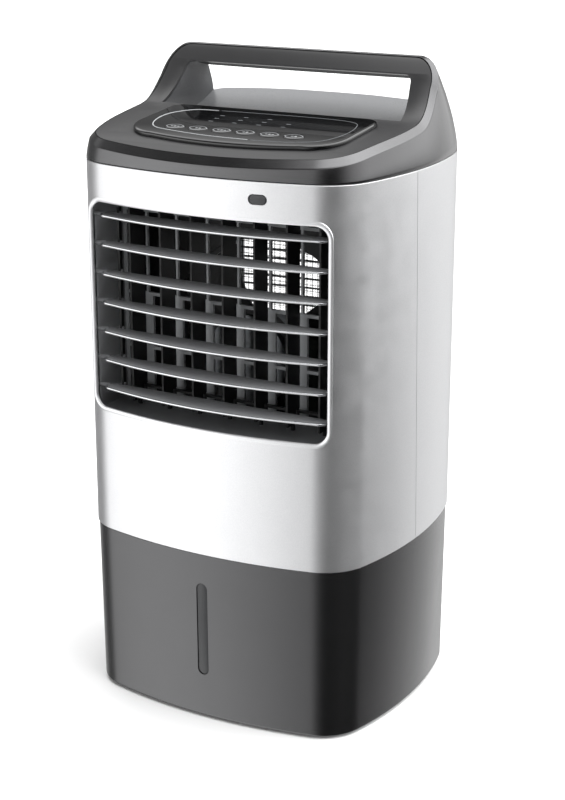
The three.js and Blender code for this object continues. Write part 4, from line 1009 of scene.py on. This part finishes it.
def rim_half(upper, sink=0.0):
    """The rim of the top's face, from its outer edge at upper 0 to its upper edge at 1."""
    points = []
    plan, inwards = half_outline(0), half_outline(MM)
    for i in range(FACE_STATIONS + 1):
        step = (inwards[i] - plan[i]) / MM
        if i == 0:
            step = Vector((0, 1))
        at = plan[i].copy()
        for _ in range(12):
            at = plan[i] + step * (lean(deck_z(at.y)) + upper * CHAMFER + sink)
        points.append(Vector((at.x, at.y, deck_z(at.y) - (1 - upper) * CHAMFER)))
    start = points[-1].copy()
    top = ridge_z - upper * 0.9 * MM
    ridge_x = HANDLE_CORNER_X - upper * 2 * MM - sink
    steps = half_plan[3][4] + half_plan[4][4]
    reach, rise = start.x - ridge_x, top - sink - start.z
    for k in range(1, steps + 1):
        share = k / steps
        z = start.z + rise * math.sin(share * math.pi / 2)
        x = ridge_x + reach * math.cos(share * math.pi / 2)
        first = start.y - deck_y(start.z)
        last = (1 - upper) * RIDGE_BACK
        points.append(Vector((x, deck_y(z) + first + (last - first) * share, z)))
    ridge = points[-1]
    back = half_plan[5][4]
    points += [Vector((ridge.x * (1 - k / back), ridge.y, ridge.z)) for k in range(1, back + 1)]
    return points


def sunk(half, depth):
    """Pushes rim points down into the face, square to it."""
    lowered = []
    for p in half:
        normal = deck_normal(min(p.y, 47 * MM))
        lowered.append(Vector((p.x, p.y - normal.x * depth, p.z - normal.y * depth)))
    return lowered


def rim_solid(name, halves, material, flat_bottom=False):
    """Rings from half rims, closed by faces that run straight across from right to left."""
    rings = [whole(half) for half in halves]
    count, half_count = len(rings[0]), len(halves[0])
    obj = skin(name, rings, caps=False)
    points = [v.co.copy() for v in obj.data.vertices]
    faces = [tuple(f.vertices) for f in obj.data.polygons]
    bpy.data.objects.remove(obj)

    def across(offset):
        def left(i):
            return offset + (i if i in (0, half_count - 1) else count - i)

        for i in range(half_count - 1):
            loop = [offset + i, offset + i + 1, left(i + 1), left(i)]
            faces.append(tuple(dict.fromkeys(loop)))

    if flat_bottom:
        faces.append(tuple(reversed(range(count))))
    else:
        across(0)
    across((len(rings) - 1) * count)
    return outward(make(name, points, faces, material))


# %% The gap under the handle
GRIP_HALF_LOW = 122 * MM
GRIP_HALF_HIGH = 116 * MM
GRIP_TOP = 71.6 * MM
GRIP_WIDE = 36 * MM  # up to this rise the cheeks stand upright
GRIP_FLOOR = 10 * MM
GRIP_ROUND = 8 * MM
SCOOP = [(4, 36.4), (8, 34.5), (20, 28), (45, 24), (70, 27.5), (88, 34), (105, 42)]
BAR_UNDER = [(140, 42), (140, 62), (84, 62), (52, 68.9), (39.5, 71.6), (4, 71.6)]


def grip_space():
    top = TOP_BASE + GRIP_TOP
    right = [
        (GRIP_HALF_LOW, TOP_BASE + GRIP_FLOOR),
        (GRIP_HALF_LOW, TOP_BASE + GRIP_WIDE),
        *arc((GRIP_HALF_HIGH - GRIP_ROUND, top - GRIP_ROUND), GRIP_ROUND, 0, 90, 10),
    ]
    outline = right + [(-x, z) for x, z in reversed(right)]
    front = prism("front", outline, "y", -20 * MM, 160 * MM)
    scoop = smooth_line(SCOOP, 40) + [Vector(p) for p in BAR_UNDER]
    side = prism(
        "grip", [(p.x * MM, TOP_BASE + p.y * MM) for p in scoop], "x", -half_width, half_width
    )
    return carve(side, front, how="INTERSECT")


def panel_window():
    panel_low, panel_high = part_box("control_panel")
    return block(
        "opening",
        (panel_low.x + 20 * MM, panel_low.y + 14 * MM, TOP_BASE),
        (panel_high.x - 20 * MM, panel_high.y - 16 * MM, TOP_BASE + 60 * MM),
    )


# %% The top housing and the deck plate
DECK_PLATE = 2.6 * MM
SHADE_STRIP_BACK = 51 * MM  # the painted shadow strip under the bar begins here
PAINTED_TONES_RISE = 20  # the painted light and shade on the grip lie above this rise over the top's foot, in mm
# Up to this rise the scoop's upward faces get the painted light, in mm.
PAINTED_LIGHT_RISE = 43
HOLLOW = [(-128, -10), (118, -10), (118, 10), (95, 19), (45, 19), (5, 22)]
HOLLOW += [(-17, 25), (-66, 19.5), (-110, 12), (-128, 8)]


def blend_half(base, outer, share):
    """Between the flat foot of the top and its rim: the face bellies out as it rises."""
    sideways = share**1.5
    shares = Vector((sideways, sideways, share))
    return [p + (q - p) * shares for p, q in zip(base, outer)]


def paint_grip_light_and_shade(housing):
    """The scoop's upward faces get a lighter satin grey as painted light, its upright cheeks a
    darker one as painted shade, and the downward faces under the bar black as painted shadow.
    """
    for material in (GRIP_PAINTED_LIGHT, BLACK, CHEEK_PAINTED_SHADE):
        housing.data.materials.append(material)
    for face in housing.data.polygons:
        at, facing = face.center, face.normal
        inside = abs(at.x) < GRIP_HALF_LOW + 0.1 * MM and at.y > 8 * MM
        rise = (at.z - TOP_BASE) / MM
        if not inside or not PAINTED_TONES_RISE < rise < GRIP_TOP / MM + 1:
            continue
        # Downward faces under the bar: black, as painted shadow.
        if facing.z < -0.5 and at.y > SHADE_STRIP_BACK:
            face.material_index = 2
        # Upward faces of the scoop: the lighter grey, as painted light.
        elif facing.z > 0.5 and facing.y < 0.1 and rise < PAINTED_LIGHT_RISE:
            face.material_index = 1
        # Upright cheeks: the darker grey, as painted shade.
        elif abs(facing.x) > 0.7:
            face.material_index = 3


def make_top_housing():
    base = [Vector((p.x, p.y, TOP_BASE)) for p in half_outline(0)]
    rounded_foot = [Vector((p.x, p.y, TOP_BASE)) for p in half_outline(EDGE)]
    outer = rim_half(0)
    halves = [rounded_foot, [Vector((p.x, p.y, TOP_BASE + EDGE)) for p in half_outline(0)]]
    belly = (0.12, 0.25, 0.4, 0.55, 0.7, 0.85, 0.96)
    halves += [blend_half(base, outer, share) for share in belly]
    halves += [rim_half(share) for share in (0, 0.1, 0.5, 0.9, 1)]
    halves.append(sunk(rim_half(1, GAP), DECK_PLATE + GAP))
    housing = rim_solid("top_cover", halves, GRAPHITE, flat_bottom=True)
    outline = [(y * MM, TOP_BASE + z * MM) for y, z in HOLLOW]
    hollow = prism("hollow", outline, "x", -2 * half_width, 2 * half_width)
    inside = skin("inside", [plan_ring(5 * MM, 0), plan_ring(5 * MM, 1)])
    carve(hollow, inside, how="INTERSECT")
    carve(housing, grip_space(), panel_window(), hollow)
    paint_grip_light_and_shade(housing)
    smooth(housing, 50)
    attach(housing, "housing")
    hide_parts("top_housing")
    return housing


def make_deck_plate():
    """The dark plate let into the face, with a hairline gap round it."""
    face = rim_half(1, 2 * GAP)
    plate = rim_solid("deck_plate", [sunk(face, DECK_PLATE), face], DECK)
    carve(plate, grip_space(), panel_window())
    smooth(softened(plate, 0.5, 2, 50))
    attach(plate, "housing")
    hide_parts("deck_panel")
    return plate


top_cover = make_top_housing()
deck_plate = make_deck_plate()
print("top faces:", len(top_cover.data.polygons), "deck faces:", len(deck_plate.data.polygons))

# %% [markdown]
# ## The key panel
#
# A polished black cap lies on the deck, bowed along its front. Six pointed keys stand a hair
# above it. A silver inlay starts behind, rounds the left end and runs along the front.

# %% The panel's outline, draped on the deck
PANEL_X = 5 * MM
PANEL_HALF = 105 * MM
PANEL_ROUND = 32 * MM
PANEL_BACK_ROUND = 14 * MM
PANEL_BOW = 8 * MM
PANEL_RISE = 4 * MM
PANEL_FRONT = -105 * MM
PANEL_BACK = -4 * MM


def panel_half(inset):
    """The right half of the outline, from the front middle to the back middle."""
    half, round_in = PANEL_HALF - inset, PANEL_ROUND - inset
    front, back = PANEL_FRONT + inset, PANEL_BACK - inset
    corner_x, corner_y = half - round_in, front + PANEL_BOW + round_in
    points = [
        (corner_x * i / 20, front + PANEL_BOW * (i / 20) ** 2) for i in range(20)
    ]
    points += arc((corner_x, corner_y), round_in, -90, 0, 12)
    small = PANEL_BACK_ROUND - inset
    points += [(half, corner_y + (back - small - corner_y) * i / 12) for i in range(1, 12)]
    points += arc((half - small, back - small), small, 0, 90, 8)
    points.append((0, back))
    return points


def draped(outline, rise):
    """Lays points in plan on the deck, lifted square to it."""
    laid = []
    for x, y in outline:
        normal = deck_normal(y)
        laid.append(Vector((x, y + normal.x * rise, deck_z(y) + normal.y * rise)))
    return laid


KEY_Y = -77 * MM
KEY_COUNT = 6
KEY_HOLE = (9.8 * MM, 7.3 * MM)
PANEL_LEVELS = [(0, 0.4), (0, 2.2), (0.35, 3.1), (1.2, 3.7), (2.4, 4), (3.2, 4)]  # inset, rise
key_normal = deck_normal(KEY_Y)
key_turn = Matrix.Rotation(math.atan2(-key_normal.x, key_normal.y), 4, "X")


def key_place(n):
    low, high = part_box(f"key_{n}")
    spot = Vector(((low.x + high.x) / 2, KEY_Y, deck_z(KEY_Y)))
    return Matrix.Translation(spot) @ key_turn


def at_key(obj, n):
    """Moves a piece made upright at the origin to a key, in its mesh."""
    obj.data.transform(key_place(n))
    return obj


def make_panel():
    halves = [draped(panel_half(inset * MM), rise * MM) for inset, rise in PANEL_LEVELS]
    panel = rim_solid("panel_cap", halves, PANEL)
    panel.data.transform(Matrix.Translation((PANEL_X, 0, 0)))
    for n in range(1, KEY_COUNT + 1):
        hole = prism("hole", arc((0, 0), KEY_HOLE, 0, 350, 35), "z", -10 * MM, 15 * MM)
        carve(panel, at_key(hole, n))
    smooth(panel, 50)
    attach(panel, "housing")
    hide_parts("control_panel")
    return panel


panel = make_panel()
print("panel faces:", len(panel.data.polygons))

# %% The keys, with an outline and a plain mark on each
KEY_HALF = 9.5 * MM
KEY_HEIGHT = 7 * MM
KEY_TOP = PANEL_RISE + 0.5 * MM
KEY_DEEP = 3.8 * MM
STEM_RADIUS = 2.2 * MM
STEM_LONG = 13 * MM
MARK_RISE = 0.08 * MM
MARK_SINK = 0.1 * MM
ALMOND = (9.0 * MM, 5.2 * MM)
ALMOND_INSIDE = (8.2 * MM, 4.7 * MM)
BAR_HALF = 1.1 * MM
BAR_PITCH = 3.2 * MM


def pointed_oval(half, height, steps=14):
    """Two arcs that meet in a point at each end, as an almond does."""
    radius = (half**2 + height**2) / (2 * height)
    spread = math.degrees(math.asin(half / radius))
    above = arc((0, height - radius), radius, 90 - spread, 90 + spread, steps)
    below = arc((0, radius - height), radius, 270 - spread, 270 + spread, steps)
    return above + below[1:-1]


def make_key(n):
    cap = prism(
        f"key_cap_{n}",
        arc((0, 0), (KEY_HALF, KEY_HEIGHT), 0, 352, 44),
        "z",
        KEY_TOP - KEY_DEEP,
        KEY_TOP,
        PANEL,
    )
    round_stem = arc((0, 0), STEM_RADIUS, 0, 342, 19)
    stem = prism("stem", round_stem, "z", PANEL_RISE - STEM_LONG, PANEL_RISE)
    carve(softened(cap, 0.5, 3), stem, how="UNION")
    smooth(at_key(cap, n))
    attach(cap, f"key_{n}")
    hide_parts(f"key_{n}")


def make_key_outline(n):
    """A printed almond line, and the key's own mark of two or three short bars."""
    foot, head = KEY_TOP - MARK_SINK, KEY_TOP + MARK_RISE
    outer, inner = pointed_oval(*ALMOND), pointed_oval(*ALMOND_INSIDE)
    levels = [(outer, foot), (outer, head), (inner, head), (inner, foot)]
    rings = [[Vector((x, y, z)) for x, y in oval] for oval, z in levels]
    line = outward(skin(f"key_line_{n}", rings, INK, closed=True))
    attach(at_key(line, n), f"key_{n}")
    bars = 2 + n % 2
    for k in range(bars):
        x = (k - (bars - 1) / 2) * BAR_PITCH
        tall = (1.1 if k % 2 else 0.7) * MM
        low, high = (x - BAR_HALF, -tall, foot), (x + BAR_HALF, tall, head)
        bar = block(f"key_mark_{n}_{k + 1}", low, high, INK)
        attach(at_key(bar, n), f"key_{n}")


for n in range(1, KEY_COUNT + 1):
    make_key(n)
    make_key_outline(n)
print("keys:", KEY_COUNT)

# %% [markdown]
# ### The inlay and the lamp windows
#
# The inlay is a silver strip a millimetre wide, laid in a groove. A thinner dim line closes
# the shape on the right. Behind the keys, small printed windows show which mode is on.

# %% Inlay and lamps
INLAY = [(-46, -18), (-69, -21), (-84, -38), (-84, -62), (-73, -81), (-46, -88)]
INLAY += [(-10, -92.5), (28, -93.5)]
DIM_LINE = [(31, -93.5), (64, -91), (90, -82), (101, -62), (100, -36), (88, -20)]
DIM_LINE += [(44, -16), (-43, -17.6)]
LAMP_COLUMNS = (-33, -9, 15, 39)
LAMP_ROWS = (-53, -43, -33)


def draped_strip(name, points, width, height, material):
    """A half-round strip laid on the panel along a smooth line."""
    outline = [(p.x * MM, p.y * MM) for p in smooth_line(points, 90)]
    path = draped(outline, PANEL_RISE)
    section = [(a, b) for a, b in arc((0, -0.05 * MM), (width / 2, height), 0, 180, 6)]
    section.append((0, -0.3 * MM))
    strip = smooth(tube(name, path, section, material), 60)
    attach(strip, "housing")


def make_lamps():
    for column, x in enumerate(LAMP_COLUMNS):
        for row, y in enumerate(LAMP_ROWS):
            if (column, row) == (3, 2):
                continue
            spot = draped([(x * MM, y * MM)], PANEL_RISE)[0]
            low, high = (-2.2 * MM, -0.5 * MM, -MARK_SINK), (2.2 * MM, 0.5 * MM, MARK_RISE)
            lamp = block(f"lamp_{column + 1}_{row + 1}", low, high, INK_DIM)
            lamp.data.transform(Matrix.Translation(spot) @ key_turn)
            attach(lamp, "housing")


draped_strip("panel_inlay", INLAY, 1.1 * MM, 0.4 * MM, INLAY_SILVER)
draped_strip("panel_line", DIM_LINE, 0.6 * MM, 0.2 * MM, INK_DIM)
make_lamps()
print("inlay and lamps laid")

# %% [markdown]
# ## The louvres
#
# Seven blades turn together on pins at their ends. Each is a thin dark blade whose front edge
# follows the curve of the body, with a chrome strip clipped in front of it, a small shadow gap
# behind the strip, and ends that curl back.

# %% Blades and strips
FRAME_END = 122.8 * MM
LOUVRE_HALF = 114 * MM
LOUVRE_ROUND = 9 * MM
LOUVRE_THICK = 2.2 * MM
LOUVRE_REAR = -101 * MM
PIVOT_Y = -105 * MM
LEVER = 10.5 * MM
LINK_X = -104 * MM
STRIP_INSET = 5.6 * MM
STRIP_SECTION = (0.5 * MM, 0.8 * MM)
BLADE_INSET = 7.8 * MM
LEDGE_INSET = 5.8 * MM
BLADE_SHORT = 1.4 * MM  # a blade's upper half and its back are this much narrower
PIN_RADIUS = 2 * MM
LINK_PIN_RADIUS = 1.3 * MM


def louvre_front(inset, half, steps=40):
    """The front line of a blade, from its left end, round both corners, to its right end."""
    bend = LOUVRE_ROUND
    limit = half - bend
    middle = [limit * (2 * i / steps - 1) for i in range(steps + 1)]
    line = [(x, front_y(x, inset)) for x in middle]
    side_y = line[0][1] + bend
    right = arc((limit, side_y), (bend, bend), -90, 0, 8)[1:]
    left = [(-x, y) for x, y in reversed(right)]
    return left + line + right


def make_louvre(n):
    low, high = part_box(f"louvre_{n}")
    z = (low.z + high.z) / 2
    thick = LOUVRE_THICK / 2
    narrow = LOUVRE_HALF - BLADE_SHORT
    upper = louvre_front(BLADE_INSET, narrow)
    lower = louvre_front(LEDGE_INSET, LOUVRE_HALF)
    back = [(narrow, LOUVRE_REAR), (-narrow, LOUVRE_REAR)]
    blade = prism(f"blade_{n}", upper + back, "z", z - thick + 0.5 * MM, z + thick, LOUVRE)
    ledge = prism("ledge", lower + back, "z", z - thick, z - 0.2 * MM)
    softened(blade, 0.3)
    parts = [ledge]
    for side in (-1, 1):
        start, end = sorted((side * (LOUVRE_HALF - 3 * MM), side * FRAME_END))
        parts.append(prism("pin", arc((PIVOT_Y, z), PIN_RADIUS, 0, 342, 19), "x", start, end))
    arm = block(
        "arm",
        (LINK_X - 4 * MM, LOUVRE_REAR - 2 * MM, z - thick),
        (LINK_X - 2 * MM, PIVOT_Y + LEVER + 2 * MM, z + thick),
    )
    round_pin = arc((PIVOT_Y + LEVER, z), LINK_PIN_RADIUS, 0, 330, 11)
    link_pin = prism("link_pin", round_pin, "x", LINK_X - 3 * MM, LINK_X + 1.6 * MM)
    carve(blade, *parts, arm, link_pin, how="UNION")
    smooth(blade)
    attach(blade, f"louvre_{n}")
    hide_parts(f"louvre_{n}")
    return z


def make_strip(n, z):
    """The chrome strip: a flattened round section along the blade's front line."""
    path = [Vector((x, y, z + 0.1 * MM)) for x, y in louvre_front(STRIP_INSET, LOUVRE_HALF)]
    strip = tube(f"louvre_strip_{n}", path, arc((0, 0), STRIP_SECTION, 0, 330, 11), CHROME)
    smooth(strip, 60)
    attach(strip, f"louvre_{n}")


LOUVRES = sum(f"louvre_{n}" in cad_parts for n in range(1, 20))
for n in range(1, LOUVRES + 1):
    make_strip(n, make_louvre(n))
print("louvres:", LOUVRES)

# %% [markdown]
# ## Curtain and dust net
#
# Air is cooled as it passes a curtain of wet fibre cells, and a nylon net behind it holds dust
# back. Both are mostly holes, so light from behind comes through. Low down, the curtain is a
# thicker pad that soaks up the water that has run down it. Geometry Nodes lay the
# threads: one upright thread and one level thread, each repeated across the frame.

# %% Nets
def make_net(name, node, body, material, pitch, thread):
    low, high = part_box(node)
    middle = (low.y + high.y) / 2
    pieces = []
    for upright in (True, False):
        span = (high.x - low.x) if upright else (high.z - low.z)
        count = round(span / pitch)
        step = span / count
        half = thread / 2
        if upright:
            source = block("thread", (-half, -half, 0), (half, half, high.z - low.z))
            start, offset = (low.x + step / 2, middle, low.z), (step, 0, 0)
        else:
            source = block("thread", (0, -half, -half), (high.x - low.x, half, half))
            start, offset = (low.x, middle + 0.6 * thread, low.z + step / 2), (0, 0, step)
        kind = "up" if upright else "across"
        threads = repeated(f"{name}_{kind}", source, material, count, start, offset)
        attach(threads, body)
        pieces.append(threads)
    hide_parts(node)
    return pieces


PAD_TOP = 325 * MM
CELL, FIBRE_WIDTH = 6 * MM, 0.5 * MM
MESH, YARN_WIDTH = 3 * MM, 0.25 * MM
curtain = make_net(
    "curtain_cells", "wet_curtain", "filter_cover", FIBRE, CELL, FIBRE_WIDTH
)
net = make_net("dust_net", "filter_net", "filter_cover", NET, MESH, YARN_WIDTH)
pad_low, pad_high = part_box("wet_curtain")
pad = block("curtain_pad", pad_low, (pad_high.x, pad_high.y, PAD_TOP), FIBRE)
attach(pad, "filter_cover")
print("threads:", [len(p.data.polygons) // 6 for p in curtain + net])

# %% [markdown]
# ## Finishes for the inner parts
#
# The frame's own pieces keep their shape and take a finish by what they are made of.

# %% Dress the frame's pieces
NODE_FINISHES = {
    "foot_": RUBBER,
    "drain_plug": RUBBER,
    "cord_gland": RUBBER,
    "shell_screw_": STEEL,
    "motor_shaft": STEEL,
    "base_tray": BLACK,
    "pump_hose": HOSE,
    "pump": BLACK,
    "spray_tray": LOUVRE,
    "curtain_frame": LOUVRE,
    "level_sensor_stem": BLACK,
    "level_float": FLOAT,
    "outlet_frame": LOUVRE,
    "outlet_guard": GUARD,
    "louvre_link": BLACK,
    "vane_": BLACK,
    "swing_motor": ZINC,
    "fan_shroud": BLACK,
    "fan_motor": ZINC,
    "motor_bracket": BLACK,
    "fan": BLACK,
    "control_board": BOARD,
}


def finish_for(name):
    fits = [key for key in NODE_FINISHES if name.startswith(key)]
    return NODE_FINISHES[max(fits, key=len)] if fits else None


dressed = 0
for name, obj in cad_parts.items():
    material = finish_for(name)
    if material:
        obj.data.materials.clear()
        obj.data.materials.append(material)
        dressed += 1
print("frame pieces dressed:", dressed)

# %% [markdown]
# ## Floor, light and camera
#
# The cooler stands on a pale floor in a plain studio. The light is a white room: a bright wall
# in front on the left, a shaded corner on the right, a bright wall behind on the right and a
# large soft light overhead. Silver and gloss show that room as long soft gradients.

# %% Floor
FLOOR_REACH = 14
floor_corners = [(-1, -1), (1, -1), (1, 1), (-1, 1)]
floor_points = [(x * FLOOR_REACH, y * FLOOR_REACH, 0) for x, y in floor_corners]
floor = make("floor", floor_points, [(0, 1, 2, 3)])
floor_paint, _, _ = finish("floor_matt_white", "#f7f7f7", 0.9)
floor.data.materials.append(floor_paint)
floor.visible_glossy = False

# %% Studio room
# Each pair is an azimuth in degrees and a brightness. 0 is in front, 90 on the right.
WALL_LIGHT = [
    (-180, 0.8), (-164, 0.48), (-146, 0.32), (-122, 0.4), (-100, 0.12), (-80, 0.24),
    (-66, 1.24), (-50, 1.68), (-30, 1.52), (-14, 1.04), (0, 0.68), (12, 0.288), (26, 0.024),
    (46, 0.0), (72, 0.04), (92, 0.024), (112, 0.016), (128, 0.176), (146, 0.56), (162, 0.76),
    (174, 0.8),
]
FRIEZE_LIGHT = [
    (-180, 0.48), (-165, 0.2), (-140, 0.16), (-110, 0.2), (-80, 0.24), (-66, 1.52), (-50, 2.16),
    (-30, 1.84), (-14, 1.2), (0, 0.8), (12, 0.32), (26, 0.024), (46, 0.0), (62, 0.32),
    (82, 1.2), (110, 1.76), (150, 2.24), (172, 1.12),
]
CEILING_LIGHT = [
    (-180, 0.64), (-165, 0.24), (-150, 0.64), (-122, 2.4), (-98, 0.48), (-65, 0.08),
    (-35, 0.08), (-5, 0.32), (30, 0.96), (60, 3.2), (90, 4.4), (140, 4.4), (160, 2.4),
]
TOP_LIGHT = 3.84
RAMP_FULL = 4.8
# Each level gives way to the next one between two heights, in degrees.
FRIEZE_FROM = (-10, 2)
CEILING_FROM = (22, 34)
TOP_FROM = (58, 76)


def direction(azimuth, elevation):
    """A unit vector. Azimuth 0 is in front of the cooler and 90 is on its right."""
    a, e = math.radians(azimuth), math.radians(elevation)
    return Vector((math.sin(a) * math.cos(e), -math.cos(a) * math.cos(e), math.sin(e)))


def band(tree, around, levels):
    """A brightness that changes with azimuth. The ramp holds shares of a full level."""
    ramp = put(tree, "ShaderNodeValToRGB", {"Fac": around})
    ramp.color_ramp.interpolation = "B_SPLINE"
    stops = ramp.color_ramp.elements
    while len(stops) < len(levels):
        stops.new(0.5)
    for stop, (angle, level) in zip(stops, levels):
        stop.position = (angle + 180) / 360
        share = level / RAMP_FULL
        stop.color = (share, share, share, 1)
    full = {0: ramp.outputs["Color"], 1: RAMP_FULL}
    return put(tree, "ShaderNodeMath", full, operation="MULTIPLY").outputs[0]


def step_up(tree, height, low, high):
    """Goes from 0 to 1 as the height of the direction passes from low to high, in degrees."""
    ends = {
        "Value": height,
        "From Min": math.sin(math.radians(low)),
        "From Max": math.sin(math.radians(high)),
    }
    return put(tree, "ShaderNodeMapRange", ends, interpolation_type="SMOOTHSTEP").outputs[0]


def mixed(tree, share, first, second):
    return put(tree, "ShaderNodeMix", {0: share, 2: first, 3: second}, data_type="FLOAT").outputs[0]


def build_room():
    world = bpy.data.worlds.new("studio")
    scene.world = world
    world.use_nodes = True
    tree = world.node_tree
    tree.nodes.clear()
    towards = put(tree, "ShaderNodeTexCoord").outputs["Generated"]
    parts = put(tree, "ShaderNodeSeparateXYZ", {"Vector": towards}).outputs
    front = put(tree, "ShaderNodeMath", {0: parts["Y"], 1: -1.0}, operation="MULTIPLY")
    azimuth = put(
        tree, "ShaderNodeMath", {0: parts["X"], 1: front.outputs[0]}, operation="ARCTAN2"
    )
    turn = {"Value": azimuth.outputs[0], "From Min": -math.pi, "From Max": math.pi}
    around = put(tree, "ShaderNodeMapRange", turn).outputs[0]
    bands = (WALL_LIGHT, FRIEZE_LIGHT, CEILING_LIGHT)
    walls, frieze, ceiling = (band(tree, around, levels) for levels in bands)
    room = mixed(tree, step_up(tree, parts["Z"], *FRIEZE_FROM), walls, frieze)
    room = mixed(tree, step_up(tree, parts["Z"], *CEILING_FROM), room, ceiling)
    room = mixed(tree, step_up(tree, parts["Z"], *TOP_FROM), room, TOP_LIGHT)
    seen = put(tree, "ShaderNodeLightPath").outputs["Is Camera Ray"]
    level = mixed(tree, seen, room, 1.0)
    light = put(tree, "ShaderNodeBackground", {"Color": (1, 1, 1, 1), "Strength": level})
    put(tree, "ShaderNodeOutputWorld", {"Surface": light.outputs[0]})


build_room()
scene.view_settings.view_transform = "Standard"

# %% Camera
LENS_MM = 78.99
SENSOR_MM = 36
CAMERA_AT = Vector((0.77432, -1.35570, 0.75999))
CAMERA_BACK = direction(29.461, 17.452)
camera_data = bpy.data.cameras.new("camera")
camera_data.lens = LENS_MM
camera_data.sensor_width = SENSOR_MM
camera = bpy.data.objects.new("camera", camera_data)
scene.collection.objects.link(camera)
camera.location = CAMERA_AT
camera.rotation_mode = "QUATERNION"
camera.rotation_quaternion = (-CAMERA_BACK).to_track_quat("-Z", "Y")
scene.camera = camera
